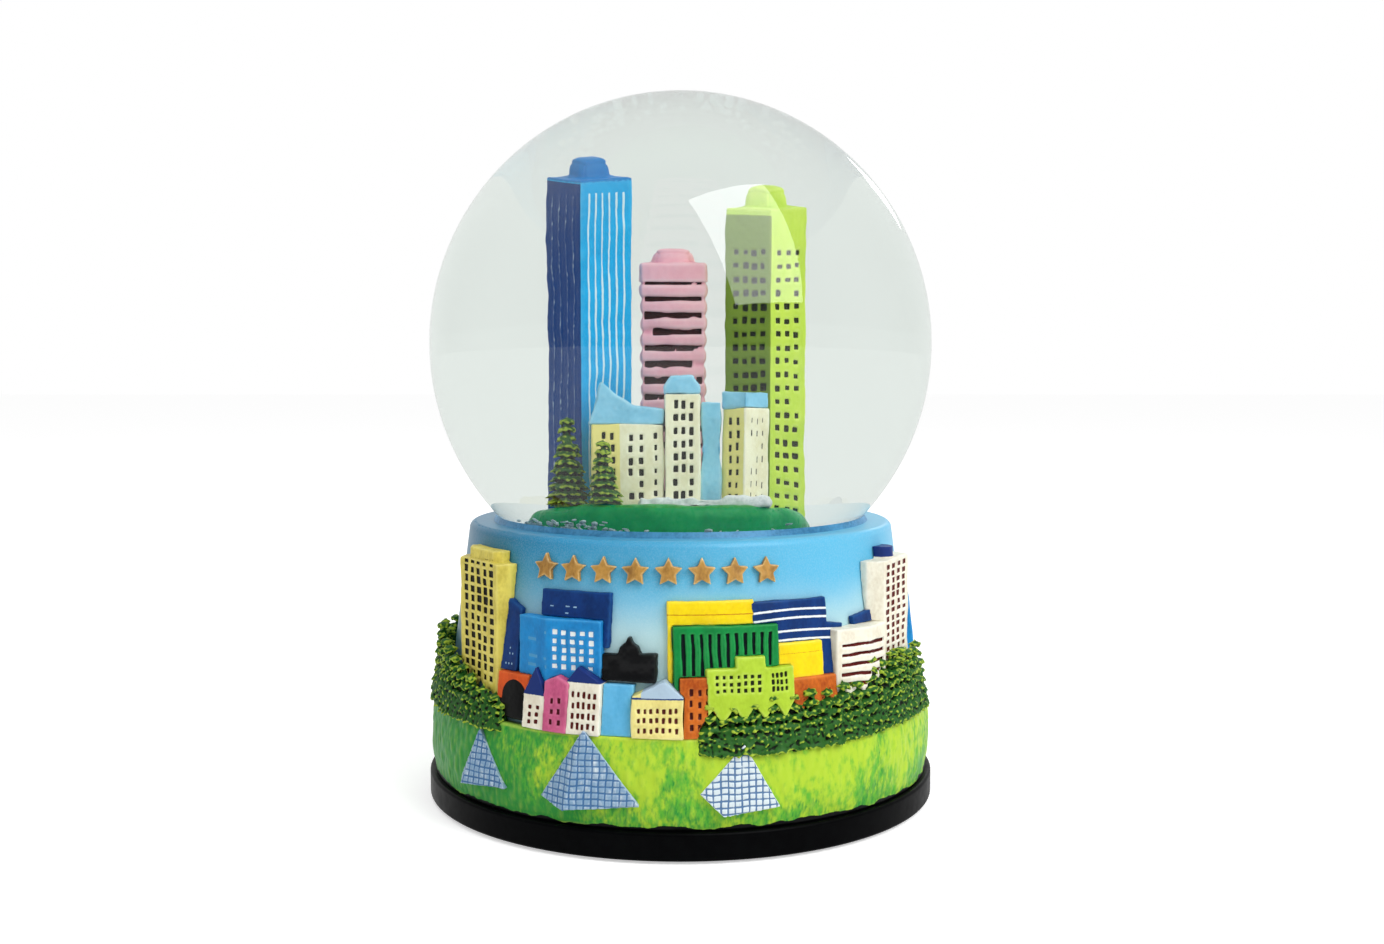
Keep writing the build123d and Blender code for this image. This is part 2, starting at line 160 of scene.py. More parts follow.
class Value:
    """A socket of a node tree that takes part in Python arithmetic."""

    def __init__(self, nodes: "Nodes", socket: bpy.types.NodeSocket) -> None:
        """Wraps one output socket."""
        self.nodes = nodes
        self.socket = socket

    def _math(self, operation: str, first: Input, second: Input) -> "Value":
        """Adds one Math node, for numbers."""
        return self.nodes.add("ShaderNodeMath", {"operation": operation}, {0: first, 1: second})

    def __add__(self, other: Input) -> "Value":
        """Sum."""
        return self._math("ADD", self, other)

    def __radd__(self, other: Input) -> "Value":
        """Sum with a number on the left."""
        return self._math("ADD", other, self)

    def __sub__(self, other: Input) -> "Value":
        """Difference."""
        return self._math("SUBTRACT", self, other)

    def __rsub__(self, other: Input) -> "Value":
        """Difference with a number on the left."""
        return self._math("SUBTRACT", other, self)

    def __mul__(self, other: Input) -> "Value":
        """Product."""
        return self._math("MULTIPLY", self, other)

    def __rmul__(self, other: Input) -> "Value":
        """Product with a number on the left."""
        return self._math("MULTIPLY", other, self)

    def step(self, low: float, high: float) -> "Value":
        """Smooth step from 0 at low to 1 at high."""
        settings = {"interpolation_type": "SMOOTHSTEP"}
        return self.nodes.add("ShaderNodeMapRange", settings, {0: self, 1: low, 2: high, 3: 0.0, 4: 1.0})


class Nodes:
    """Builds one material's or world's node tree."""

    def __init__(self, owner: Union[bpy.types.Material, bpy.types.World]) -> None:
        """Empties the owner's tree and keeps it."""
        owner.use_nodes = True
        self.tree = owner.node_tree
        self.tree.nodes.clear()

    def add(
        self, kind: str, settings: Optional[dict] = None, inputs: Optional[dict] = None, output: int = 0
    ) -> Value:
        """Adds a node.

        Args:
            kind: Blender's node type.
            settings: attributes to set first.
            inputs: socket number or name to a value or a link.
            output: number of the output socket to return.

        Returns:
            The wrapped output socket.
        """
        node = self.tree.nodes.new(kind)
        for name, value in (settings or {}).items():
            setattr(node, name, value)
        for name, value in (inputs or {}).items():
            self._feed(node.inputs[name], value)
        return Value(self, node.outputs[output]) if len(node.outputs) else Value(self, None)

    def _feed(self, socket: bpy.types.NodeSocket, value: Input) -> None:
        """Links a socket or sets its value."""
        if isinstance(value, Value):
            self.tree.links.new(value.socket, socket)
        elif isinstance(value, (int, float)):
            socket.default_value = value
        elif socket.type == "RGBA" and len(value) == 3:
            socket.default_value = (*value, 1.0)
        else:
            socket.default_value = value

    def place(self) -> Value:
        """Position on the object, in metres."""
        return self.add("ShaderNodeTexCoord", output=3)

    def mark(self, name: str) -> Value:
        """A painted mark that the mesh carries, from 0 to 1."""
        return self.add("ShaderNodeAttribute", {"attribute_name": name}, output=2)

    def noise(self, size_mm: float, stretch: Sequence[float] = (1, 1, 1), detail: float = 2.0) -> Value:
        """Smooth noise from 0 to 1.

        Args:
            size_mm: distance over which it changes.
            stretch: how much longer the pattern is along x, y and z.
            detail: octaves.

        Returns:
            The noise value.
        """
        scale = [1 / s for s in stretch]
        spot = self.add("ShaderNodeMapping", inputs={"Vector": self.place(), "Scale": scale})
        inputs = {"Vector": spot, "Scale": 1 / (size_mm * MM), "Detail": detail}
        return self.add("ShaderNodeTexNoise", inputs=inputs)

    def blend(self, first: Input, second: Input, share: Input) -> Value:
        """Mixes two colours; share 1 is all second."""
        return self.add("ShaderNodeMix", {"data_type": "RGBA"}, {0: share, 6: first, 7: second}, output=2)

    def crisp(self, mark: Value, wobble: Value) -> Value:
        """Sharpens a mesh mark into a brushed edge that wobbles with noise."""
        return (mark + (wobble - 0.5) * 0.45).step(0.38, 0.62)

    def axis(self, spot: Value, number: int) -> Value:
        """One coordinate of a place: 0, 1 and 2 for x, y and z."""
        return self.add("ShaderNodeSeparateXYZ", inputs={0: spot}, output=number)

    def surface(
        self, colour: Value, roughness: Input, height: Value, depth_mm: float, **more: float
    ) -> Value:
        """Opaque surface with small unevenness.

        Args:
            colour: its base colour.
            roughness: its roughness.
            height: the unevenness, from 0 to 1.
            depth_mm: depth of the unevenness.
            more: further sockets by name, with _ for a space.

        Returns:
            The shader.
        """
        inputs = {"Height": height, "Distance": depth_mm * MM, "Strength": 1.0}
        normal = self.add("ShaderNodeBump", inputs=inputs)
        sockets = {"Base Color": colour, "Roughness": roughness, "Normal": normal}
        sockets.update({name.replace("_", " "): value for name, value in more.items()})
        return self.add("ShaderNodeBsdfPrincipled", inputs=sockets)

    def ray(self, *kinds: int) -> Value:
        """1 for rays of the given Light Path outputs, else 0."""
        first, *others = (self.add("ShaderNodeLightPath", output=kind) for kind in kinds)
        for other in others:
            first = first + other
        return first.step(0.0, 1.0) if others else first

    def white(self, kind: str, strength: float) -> Value:
        """White emission or background of a strength."""
        return self.add(kind, inputs={"Color": CLEAR, "Strength": strength})

    def mix(self, share: Value, first: Value, second: Value) -> Value:
        """Mixes two shaders; share 1 is all second."""
        return self.add("ShaderNodeMixShader", inputs={0: share, 1: first, 2: second})

    def finish(self, shader: Value, kind: str = "ShaderNodeOutputMaterial") -> None:
        """Ends the tree with its output."""
        self.add(kind, inputs={0: shader})


class Finish:
    """A surface finish; every kind of finish makes one material."""

    name: str

    def build(self, nodes: Nodes) -> Value:
        """Adds the finish's nodes and returns its shader."""
        raise NotImplementedError

    def material(self) -> bpy.types.Material:
        """Makes the material, or returns it if it was made before."""
        title = f"{self.name}_finish"
        made = bpy.data.materials.get(title)
        if made is None:
            made = bpy.data.materials.new(title)
            nodes = Nodes(made)
            nodes.finish(self.build(nodes))
        return made


@dataclass(frozen=True)
class BrushedPaint(Finish):
    """Hobby paint brushed by hand on cast resin, with painted shade in hollows and a painted highlight on
    edges.
    """

    name: str
    colour: Colour
    shade: Colour
    light: Colour
    window: Colour = paint("14100C")
    trim: Colour = paint("FFFFFF")
    extra: Colour = paint("FFFFFF")
    patch: float = 0.5
    # Strengths of the painted shade in hollows and of the painted highlight on edges.
    wash: float = 0.75
    dry_brush: float = 0.4
    roughness: float = 0.4
    coat: float = 0.04
    specular: float = 0.12

    def build(self, nodes: Nodes) -> Value:
        """Paint layers: base, painted highlight on edges, painted shade in hollows, then trim, extra and
        windows on top.
        """
        broad = nodes.noise(1.9, (1, 1, 1.6), 3)
        fine = nodes.noise(0.32, (1, 1, 1.5), 3)
        grain = nodes.noise(0.11, detail=2)
        tone = (broad * 0.65 + fine * 0.35).step(0.36, 0.68) * self.patch
        colour = nodes.blend(self.colour, self.shade, tone)
        # Painted highlight: the light colour on edges.
        colour = nodes.blend(colour, self.light, nodes.mark("edge") * self.dry_brush * (fine + 0.4))
        # Painted shade: the shade colour in hollows.
        painted_hollow_shade = (nodes.mark("hollow") * self.wash * (fine + 0.5)).step(0.0, 1.0)
        colour = nodes.blend(colour, self.shade, painted_hollow_shade)
        for kind, layer in (("trim", self.trim), ("extra", self.extra), ("window", self.window)):
            colour = nodes.blend(colour, layer, nodes.crisp(nodes.mark(kind), fine))
        rough = self.roughness + (fine - 0.5) * 0.25
        gloss = {"Specular_IOR_Level": self.specular, "Coat_Weight": self.coat, "Coat_Roughness": 0.18}
        return nodes.surface(colour, rough, fine * 0.6 + grain * 0.4, 0.022, **gloss)


@dataclass(frozen=True)
class SkyPaint(Finish):
    """Sprayed sky fading to pale haze over the roofs, with deep blue at the rim's left and teal at the far
    left as painted shade.
    """

    name: str = "sprayed_sky"
    deep: Colour = paint("1C86B6")
    middle: Colour = paint("5CB6DC")
    haze: Colour = paint("B6DADE")
    # Teal of the painted shade at the far left.
    teal: Colour = paint("0F5F7C")
    rim_z: float = 35.6

    def build(self, nodes: Nodes) -> Value:
        """Fades by height, with the speckle of a spray gun; darker towards the left side as painted shade."""
        place = nodes.place()
        cloud = nodes.noise(7.0, (1.4, 1.4, 1), 2)
        speck = nodes.noise(0.16, detail=2)
        level = nodes.axis(place, 2) * (1 / MM) + (cloud - 0.5) * 3.2
        side = nodes.axis(place, 0) * (1 / MM) + (cloud - 0.5) * 6
        colour = nodes.blend(self.haze, self.middle, level.step(self.rim_z - 12.0, self.rim_z - 3.5))
        # Painted shade: deeper blue near the rim and teal, both towards the left side.
        depth = level.step(self.rim_z - 7.5, self.rim_z + 0.5) * (1 - side.step(-18.0, 17.0))
        colour = nodes.blend(colour, self.deep, depth * 0.85)
        colour = nodes.blend(colour, self.teal, (1 - side.step(-27.0, -11.0)) * 0.8)
        colour = nodes.blend(colour, paint("FFFFFF"), (speck - 0.5) * 0.22 + 0.02)
        gloss = {"Specular_IOR_Level": 0.15, "Coat_Weight": 0.06, "Coat_Roughness": 0.15}
        return nodes.surface(colour, 0.34 + (speck - 0.5) * 0.2, nodes.noise(0.7, detail=3), 0.03, **gloss)


@dataclass(frozen=True)
class LawnPaint(Finish):
    """Lawn in short upright strokes of three greens, darker on the left as painted shade, with painted shade
    in hollows and a painted highlight on ridges, over a black foot edge.
    """

    name: str = "lawn_strokes"
    spring: Colour = paint("B2D437")
    leaf: Colour = paint("5FB437")
    moss: Colour = paint("1F8A3A")
    shadow: Colour = paint("14562B")

    def build(self, nodes: Nodes) -> Value:
        """Lays the strokes over each other, light on top."""
        side = nodes.axis(nodes.place(), 0) * (1 / MM)
        broad = nodes.noise(5.0, (1, 1, 1.3), 2)
        dabs = nodes.noise(0.7, (1, 1, 1.9), 4)
        strokes = nodes.noise(0.3, (1, 1, 2.6), 3)
        # Painted shade: the darker greens grow towards the left side.
        left = 1 - side.step(-32.0, -2.0)
        amount = (dabs * 0.75 + broad * 0.55 + left * 0.3 + nodes.mark("low") * 0.12 - 0.22).step(0.38, 0.66)
        colour = nodes.blend(self.spring, self.leaf, amount)
        deep = (strokes * 0.6 + broad * 0.5 + left * 0.34 + nodes.mark("low") * 0.1 - 0.1).step(0.5, 0.74)
        colour = nodes.blend(colour, self.moss, deep * 0.85)
        # Painted shadow: the shadow colour in hollows and on the left side.
        dark = (dabs * 0.5 + left * 0.35 + nodes.mark("hollow") * 0.5).step(0.55, 0.95)
        colour = nodes.blend(colour, self.shadow, dark * 0.7)
        # Painted highlight: pale yellow-green on the ridges.
        colour = nodes.blend(colour, paint("D3E45A"), nodes.mark("edge") * strokes * 0.8)
        colour = nodes.blend(colour, paint("060708"), nodes.crisp(nodes.mark("foot"), strokes))
        gloss = {"Specular_IOR_Level": 0.12, "Coat_Weight": 0.04, "Coat_Roughness": 0.25}
        return nodes.surface(colour, 0.42 + (dabs - 0.5) * 0.3, strokes * 0.7 + dabs * 0.3, 0.05, **gloss)


@dataclass(frozen=True)
class FoliagePaint(Finish):
    """Dark green leaves with near-black green painted shade in the hollows and yellow-green on the leaf tips,
    partly the trees' paint and partly painted highlight.
    """

    name: str = "foliage"
    # Near-black green of the painted shade in the hollows.
    deep: Colour = paint("0A1608")
    leaf: Colour = paint("265A1E")
    tip: Colour = paint("A9C23A")

    def build(self, nodes: Nodes) -> Value:
        """Painted shade in the hollows, the yellow-green tips on the edges."""
        fine = nodes.noise(0.5, (1, 1, 1), 2)
        broad = nodes.noise(2.4, (1, 1, 1), 2)
        # Painted shade: near-black green in the hollows.
        hollow = (nodes.mark("hollow") + (fine - 0.5) * 0.5).step(0.05, 0.45)
        colour = nodes.blend(self.leaf, self.deep, hollow)
        # Yellow-green tips on the edges: the trees' paint and painted highlight together.
        amount = (nodes.mark("edge") * (fine * 0.9 + broad * 0.7)).step(0.22, 0.62)
        colour = nodes.blend(colour, self.tip, amount * 0.9)
        return nodes.surface(colour, 0.5, fine, 0.02, Specular_IOR_Level=0.12)


@dataclass(frozen=True)
class LatticePaint(Finish):
    """Glass-house panes: white dry-brushed panes between steel-blue glazing bars."""

    name: str
    bar: Colour = paint("3A6A9C")
    pane: Colour = paint("D8E4EA")
    tint: Colour = paint("7C9FBE")
    white: float = 0.6

    def build(self, nodes: Nodes) -> Value:
        """White where the brush caught the panes, blue between."""
        fine = nodes.noise(0.45, (1, 1, 1), 2)
        streak = nodes.noise(0.9, (0.6, 0.6, 2.5), 2)
        caught = (streak * 0.7 + fine * 0.5 + self.white - 0.75).step(0.2, 0.62)
        pane = nodes.blend(self.tint, self.pane, caught)
        colour = nodes.blend(pane, self.bar, nodes.crisp(nodes.mark("window"), fine) * 0.92)
        # Painted highlight: near-white on the edges.
        colour = nodes.blend(colour, paint("F4F8FA"), nodes.mark("edge") * 0.3 * (fine + 0.4))
        return nodes.surface(colour, 0.4, fine, 0.02, Specular_IOR_Level=0.2)


@dataclass(frozen=True)
class PlainFinish(Finish):
    """Moulded or poured material of one colour with slight mottling and small pits."""

    name: str
    colour: Colour
    shade: Colour
    roughness: float = 0.5
    specular: float = 0.5
    grain_mm: float = 0.4
    depth_mm: float = 0.02

    def build(self, nodes: Nodes) -> Value:
        """Mottled colour and roughness."""
        grain = nodes.noise(self.grain_mm, detail=3)
        cloud = nodes.noise(self.grain_mm * 9, detail=2)
        colour = nodes.blend(self.colour, self.shade, (grain * 0.5 + cloud * 0.5).step(0.35, 0.7))
        rough = self.roughness + (grain - 0.5) * 0.2
        return nodes.surface(colour, rough, grain, self.depth_mm, Specular_IOR_Level=self.specular)


@dataclass(frozen=True)
class ClearGlass(Finish):
    """Clear glass that lets lamps through, undimmed, to what it holds."""

    name: str
    ior: float
    tint: Colour = (0.936, 0.953, 0.942)

    def build(self, nodes: Nodes) -> Value:
        """Glass for sight, open for lamps."""
        inputs = {"Color": self.tint, "Roughness": 0.0, "IOR": self.ior}
        glass = nodes.add("ShaderNodeBsdfGlass", inputs=inputs)
        clear = nodes.add("ShaderNodeBsdfTransparent", inputs={"Color": CLEAR})
        return nodes.mix(nodes.ray(SHADOW), glass, clear)


@dataclass(frozen=True)
class ClearLiquid(Finish):
    """The filling: its bending of light is in the glass's inner wall, so it is open itself."""

    name: str = "clear_liquid"

    def build(self, nodes: Nodes) -> Value:
        """Fully open."""
        return nodes.add("ShaderNodeBsdfTransparent", inputs={"Color": CLEAR})


# ---------------------------------------------------------------- meshes
class Mesh:
    """A mesh in millimetres whose points and marks are worked on as arrays."""

    def __init__(self, data: bpy.types.Mesh) -> None:
        """Reads the points of a mesh that is in millimetres."""
        self.data = data
        self.marks: dict[str, Array] = {}
        self.points = read_vectors(data.vertices, "co")
        self.refresh()

    def refresh(self) -> None:
        """Writes the points back and reads the normals again."""
        self.data.vertices.foreach_set("co", self.points.ravel())
        self.data.update()
        self.normals = read_vectors(self.data.vertices, "normal")

    def push(self, amount: Array, direction: Optional[Array] = None) -> None:
        """Moves points along their normals, or along one direction, by an amount in millimetres."""
        along = self.normals if direction is None else direction
        self.points = self.points + amount[:, None] * along
        self.refresh()

    def mark(self, name: str, value: Array) -> None:
        """Adds to a mark; the larger value wins."""
        old = self.marks.get(name)
        self.marks[name] = value if old is None else np.maximum(old, value)

    def wobble(self, amount: float, size: float, seed: int) -> None:
        """Gives the surface the unevenness of a hand-made master."""
        self.push(amount * value_noise(self.points, size, seed))

    def curvature_marks(self, reach: float = 0.02) -> None:
        """Marks edges and hollows from how far each point stands from its neighbours' mean."""
        count = len(self.points)
        edges = np.empty(len(self.data.edges) * 2, np.int32)
        self.data.edges.foreach_get("vertices", edges)
        a, b = edges.reshape(-1, 2).T
        links = np.maximum(np.bincount(a, minlength=count) + np.bincount(b, minlength=count), 1)

        def near(value: Array) -> Array:
            """Mean of a value over each point's neighbours."""
            return (np.bincount(a, value[b], count) + np.bincount(b, value[a], count)) / links

        middle = np.stack([near(self.points[:, axis]) for axis in range(3)], axis=1)
        bend = np.einsum("ij,ij->i", self.points - middle, self.normals)
        for _ in range(2):
            bend = 0.5 * bend + 0.5 * near(bend)
        self.mark("edge", np.clip(bend / reach, 0, 1))
        self.mark("hollow", np.clip(-bend / reach, 0, 1))

    def piece(self, name: str, finish: Finish, replaces: Iterable[str], slot: str) -> bpy.types.Object:
        """Turns the mesh into a finished piece of the object.

        Args:
            name: the piece's name.
            finish: what it is painted with.
            replaces: CAD nodes that it stands for.
            slot: the record's material slot; not used.

        Returns:
            The new object.
        """
        for mark, value in self.marks.items():
            attribute = self.data.attributes.new(mark, "FLOAT", "POINT")
            attribute.data.foreach_set("value", value.astype(np.float32))
        self.data.vertices.foreach_set("co", (self.points * MM).ravel())
        self.data.polygons.foreach_set("use_smooth", np.ones(len(self.data.polygons), bool))
        self.data.materials.clear()
        self.data.materials.append(finish.material())
        self.data.update()
        thing = bpy.data.objects.new(name, self.data)
        bpy.context.scene.collection.objects.link(thing)
        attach(thing, "root")
        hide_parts(*replaces)
        log.info("%s: %d points", name, len(self.points))
        return thing


def raw_mesh(points: Sequence, faces: Sequence) -> bpy.types.Mesh:
    """Blender mesh from lists of points and faces."""
    data = bpy.data.meshes.new("raw")
    data.from_pydata([tuple(p) for p in points], [], [tuple(int(i) for i in f) for f in faces])
    data.update()
    return data


def cast(data: bpy.types.Mesh, grain: float, rounds: int) -> Mesh:
    """Fuses a closed mesh into one even skin, as a casting has.

    Args:
        data: mesh in millimetres.
        grain: distance between points of the new skin.
        rounds: how often it is smoothed.

    Returns:
        The new mesh.
    """
    holder = bpy.data.objects.new("casting", data)
    bpy.context.scene.collection.objects.link(holder)
    skin = holder.modifiers.new("skin", "REMESH")
    skin.mode = "VOXEL"
    skin.voxel_size = grain
    skin.adaptivity = 0
    soft = holder.modifiers.new("soft", "SMOOTH")
    soft.factor = 0.5
    soft.iterations = rounds
    graph = bpy.context.evaluated_depsgraph_get()
    made = bpy.data.meshes.new_from_object(holder.evaluated_get(graph))
    bpy.data.objects.remove(holder)
    return Mesh(made)


def node_mesh(node: str) -> bpy.types.Mesh:
    """A copy of a CAD node's mesh in millimetres, with its split corners joined."""
    work = bmesh.new()
    work.from_mesh(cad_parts[node].data)
    bmesh.ops.remove_doubles(work, verts=work.verts, dist=1e-6)
    bmesh.ops.scale(work, vec=(1 / MM, 1 / MM, 1 / MM), verts=work.verts)
    data = bpy.data.meshes.new(node + "_master")
    work.to_mesh(data)
    work.free()
    return data


@dataclass
class Wall:
    """One wall of a building: the way it faces and the part of it that is worked on.

    left, right, low and high are margins in millimetres inside the wall's own extent, and spread is how
    far, in degrees, a point's normal may turn from the wall's bearing.
    """

    bearing: float
    left: float = 0.3
    right: float = 0.3
    low: float = 0.3
    high: float = 0.5
    spread: float = 32.0


@dataclass
class Panes:
    """A grid of panes on a wall.

    width and height are a pane's share of its cell, depth is in millimetres, missing is the share of
    panes left out and kind is the mark that the panes get.
    """

    wall: Wall
    columns: int
    rows: int
    width: float = 0.5
    height: float = 0.6
    depth: float = 0.2
    missing: float = 0.0
    kind: str = "window"


class Casting:
    """A building that starts as its CAD node and gets its windows, bands and roofs."""

    jitter = 0.07  # how unevenly panes are cut, as a share of a cell

    def __init__(self, node: str, grain: float = 0.13, rounds: int = 4, seed: int = 1) -> None:
        """Casts the node's shape and finds its extent."""
        self.node = node
        self.seed = seed
        self.mesh = cast(node_mesh(node), grain, rounds)
        self.low, self.high = self.mesh.points.min(0), self.mesh.points.max(0)
        self.random = np.random.default_rng(seed * 101 + 7)

    def height(self) -> Array:
        """Height of each point."""
        return self.mesh.points[:, 2]

    def wall_grid(self, wall: Wall) -> tuple[Array, Array, Array, float, float]:
        """Coordinates on a wall.

        Args:
            wall: the wall.

        Returns:
            Distance in from the left margin, height over the low margin, which points belong, and the
            worked area's width and height.
        """
        facing = self.mesh.normals @ outward(wall.bearing) > math.cos(math.radians(wall.spread))
        across = self.mesh.points @ rightward(wall.bearing)
        if not facing.any():
            raise ValueError(f"{self.node} has no wall that faces {wall.bearing}")
        u0 = np.percentile(across[facing], 1) + wall.left
        u1 = np.percentile(across[facing], 99) - wall.right
        z0 = np.percentile(self.height()[facing], 1) + wall.low
        z1 = np.percentile(self.height()[facing], 99) - wall.high
        return across - u0, self.height() - z0, facing, u1 - u0, z1 - z0

    def windows(self, panes: Panes) -> None:
        """Sinks a grid of panes into a wall."""
        columns, rows = panes.columns, panes.rows
        across, up, facing, wide, tall = self.wall_grid(panes.wall)
        cell_w, cell_h = wide / columns, tall / rows
        i = np.clip(np.floor(across / cell_w).astype(int), 0, columns - 1)
        j = np.clip(np.floor(up / cell_h).astype(int), 0, rows - 1)
        shift = self.random.uniform(-self.jitter, self.jitter, (columns, rows, 2))
        scale = self.random.uniform(0.82, 1.12, (columns, rows, 2))
        there = self.random.random((columns, rows)) >= panes.missing
        du = across - (i + 0.5 + shift[i, j, 0]) * cell_w
        dz = up - (j + 0.5 + shift[i, j, 1]) * cell_h
        gap_u = panes.width / 2 * cell_w * scale[i, j, 0] - np.abs(du)
        gap_z = panes.height / 2 * cell_h * scale[i, j, 1] - np.abs(dz)
        mask = soft_mask(np.minimum(gap_u, gap_z)) * facing * there[i, j]
        self.mesh.mark(panes.kind, mask)
        self.mesh.push(-panes.depth * mask, outward(panes.wall.bearing))

    def ribs(self, wall: Wall, count: int, share: float, depth: float, upright: bool = True) -> None:
        """Cuts even grooves, upright or level, into a wall.

        Args:
            wall: where.
            count: number of grooves.
            share: a groove's share of the pitch.
            depth: how deep they are.
            upright: False for level grooves.
        """
        across, up, facing, wide, tall = self.wall_grid(wall)
        along, length, other, reach = (across, wide, up, tall) if upright else (up, tall, across, wide)
        pitch = length / count
        sway = 0.1 * pitch * value_noise(self.mesh.points, 2.2, self.seed)
        place = (along + sway) / pitch
        off = np.abs(place - np.floor(place) - 0.5) * pitch
        inside = (along > 0) & (along < length) & (other > 0) & (other < reach)
        mask = soft_mask(share / 2 * pitch - off) * facing * inside
        self.mesh.mark("window", mask)
        self.mesh.push(-depth * mask, outward(wall.bearing))

    def zone(self, kind: str, where: Callable[[Array], Array]) -> None:
        """Marks points by a rule on their places, with a brushed edge."""
        self.mesh.mark(kind, np.clip(where(self.mesh.points), 0, 1))

    def above(self, kind: str, level: float, soft: float = EDGE) -> None:
        """Marks all above a level with the mark."""
        self.zone(kind, lambda p: (p[:, 2] - level) / soft + 0.5)

    def round_cap(self, turn: float, power: float = 3.2) -> None:
        """Rounds the small cap on a tower's roof into a soft blob.

        Args:
            turn: bearing that the cap's front faces.
            power: 2 gives half a ball and more keeps nearer to the block.
        """
        points = self.mesh.points
        middle = (self.low + self.high)[:2] / 2
        spread = np.hypot(*(points[:, :2] - middle).T)
        shoulder = points[spread > 0.85 * spread.max(), 2].max()
        over = points[:, 2] > shoulder + 0.08
        local = points[over] - np.array([middle[0], middle[1], shoulder])
        sides = np.stack([local @ rightward(turn), local @ outward(turn), local[:, 2]], axis=1)
        share = np.abs(sides) / np.abs(sides).max(axis=0)
        shrink = share.max(axis=1) / np.maximum((share**power).sum(axis=1) ** (1 / power), 1e-6)
        points[over] += local * (shrink - 1)[:, None]
        self.mesh.refresh()

    def finish(self, finish: Finish, slot: str, wobble: float = 0.045) -> bpy.types.Object:
        """Adds the hand-made unevenness and places the piece."""
        self.mesh.wobble(wobble * 2.2, 3.4, self.seed + 20)
        self.mesh.wobble(wobble, 1.3, self.seed)
        self.mesh.wobble(wobble * 0.35, 0.4, self.seed + 50)
        self.mesh.curvature_marks()
        return self.mesh.piece(self.node + "_casting", finish, [self.node], slot)


def lathe(profile: Sequence[tuple[float, float]], steps: int, closed: bool = True) -> Mesh:
    """Turns a profile of (radius, height) round the axis.

    Args:
        profile: points, going round the section so that it bounds solid material.
        steps: number of segments round the axis.
        closed: True if the last point joins the first; False if both ends lie on the axis.

    Returns:
        The turned mesh.
    """
    ring = np.linspace(0, 2 * math.pi, steps, endpoint=False)
    points, faces, rows = [], [], []
    for radius, height in profile:
        start = len(points)
        if radius < 1e-9:
            points.append((0.0, 0.0, height))
            rows.append([start] * steps)
        else:
            points.extend((radius * math.cos(t), radius * math.sin(t), height) for t in ring)
            rows.append(list(range(start, start + steps)))
    pairs = list(zip(rows, rows[1:])) + ([(rows[-1], rows[0])] if closed else [])
    for first, second in pairs:
        for k in range(steps):
            n = (k + 1) % steps
            face = [first[k], first[n], second[n], second[k]]
            face = [v for i, v in enumerate(face) if v != face[i - 1]]
            if len(face) > 2:
                faces.append(face)
    return Mesh(raw_mesh(points, faces))


# ---------------------------------------------------------------- paints
def brushed(name: str, colour: str, shade: str, light: str, **more: Union[str, float]) -> BrushedPaint:
    """Brushed paint from hex codes; further colours and numbers go by their field's name."""
    fields = {key: paint(value) if isinstance(value, str) else value for key, value in more.items()}
    return BrushedPaint(name, paint(colour), paint(shade), paint(light), **fields)


def plain(name: str, colour: str, shade: str, roughness: float, **more: float) -> PlainFinish:
    """Plain finish from hex codes; further numbers go by their field's name."""
    return PlainFinish(name, paint(colour), paint(shade), roughness, **more)


# Every brushed paint here carries painted shade in hollows and a painted highlight on edges.
WHITE_MAROON = brushed("white_maroon", "F3EFDC", "CDBFA2", "FFFFFF", window="5A1410", trim="1D3272")
CREAM = brushed("cream_walls", "E6D662", "A08C2C", "F8F0A0", window="080602", trim="24407C", extra="B9CCD8")
CREAM_MAROON = brushed(
    "cream_maroon", "F0E48F", "C4AE58", "FCF7C8", window="58201A", trim="26447E", extra="AFC6D8"
)
IVORY = brushed("ivory_walls", "FBF8DA", "DCD29A", "FFFFFF", window="16140C", trim="7CC6EA", extra="F6EA94")
ROOF_BLUE = brushed("roof_blue", "92D4F2", "5CAED6", "D2F0FA", patch=0.35)
PALE_BLUE = brushed("pale_blue", "63B7E2", "3E94C2", "A7DAF2", patch=0.4)
NAVY = brushed("navy", "103878", "092656", "2A6CA8", window="9CC4DE", trim="E9F0F2", patch=0.7)
BLUE = brushed("bright_blue", "1E8ED2", "1763A6", "6DBEEA", window="EEF4F2", trim="4E9CCB")
YELLOW = brushed("yellow", "F6DA10", "D9A80E", "FFF07A", window="C98A12", patch=0.35)
GREEN = brushed("ribbed_green", "0E8A40", "08602B", "3FA85E", window="06161A")
ORANGE = brushed("orange", "CF6A20", "943814", "EE9A48", window="42100A", patch=0.8)
RED_ORANGE = brushed("red_orange", "DD5A22", "A63A18", "F08A4A", window="050505")
PINK = brushed("pink", "D0608A", "98385E", "F09AB6", window="4E0E18", patch=0.6)
ROSE = brushed("rose", "FFC0CC", "F098AE", "FFE6EA", window="34090E", patch=0.35)
LIME = brushed("lime", "B2D23A", "8EAE22", "DCEE7C", window="20260C", patch=0.45)
# Black paint with a faint painted highlight on edges.
BLACK = brushed("black", "07080B", "020203", "2E3A34", dry_brush=0.25, coat=0.2)
# In the two tower paints, trim is the painted shade on the towers' left walls.
TOWER_BLUE = brushed(
    "tower_blue", "1BB0EE", "1698D8", "84DAF8", window="D4EEF8", trim="0A3F86", extra="0E7CC4"
)
TOWER_LIME = brushed("tower_lime", "CCE852", "B0D63C", "EEFAA0", window="1C220A", trim="7C962C")
GROUND = brushed("ground_green", "12964A", "0C7A38", "5FC060", patch=0.7, roughness=0.3)
SNOW = plain("snow", "EDF1F2", "C9D2D6", 0.6, grain_mm=0.3)
CHIPS = plain("snow_chips", "C3D3D8", "8FA9B2", 0.45, grain_mm=0.3)
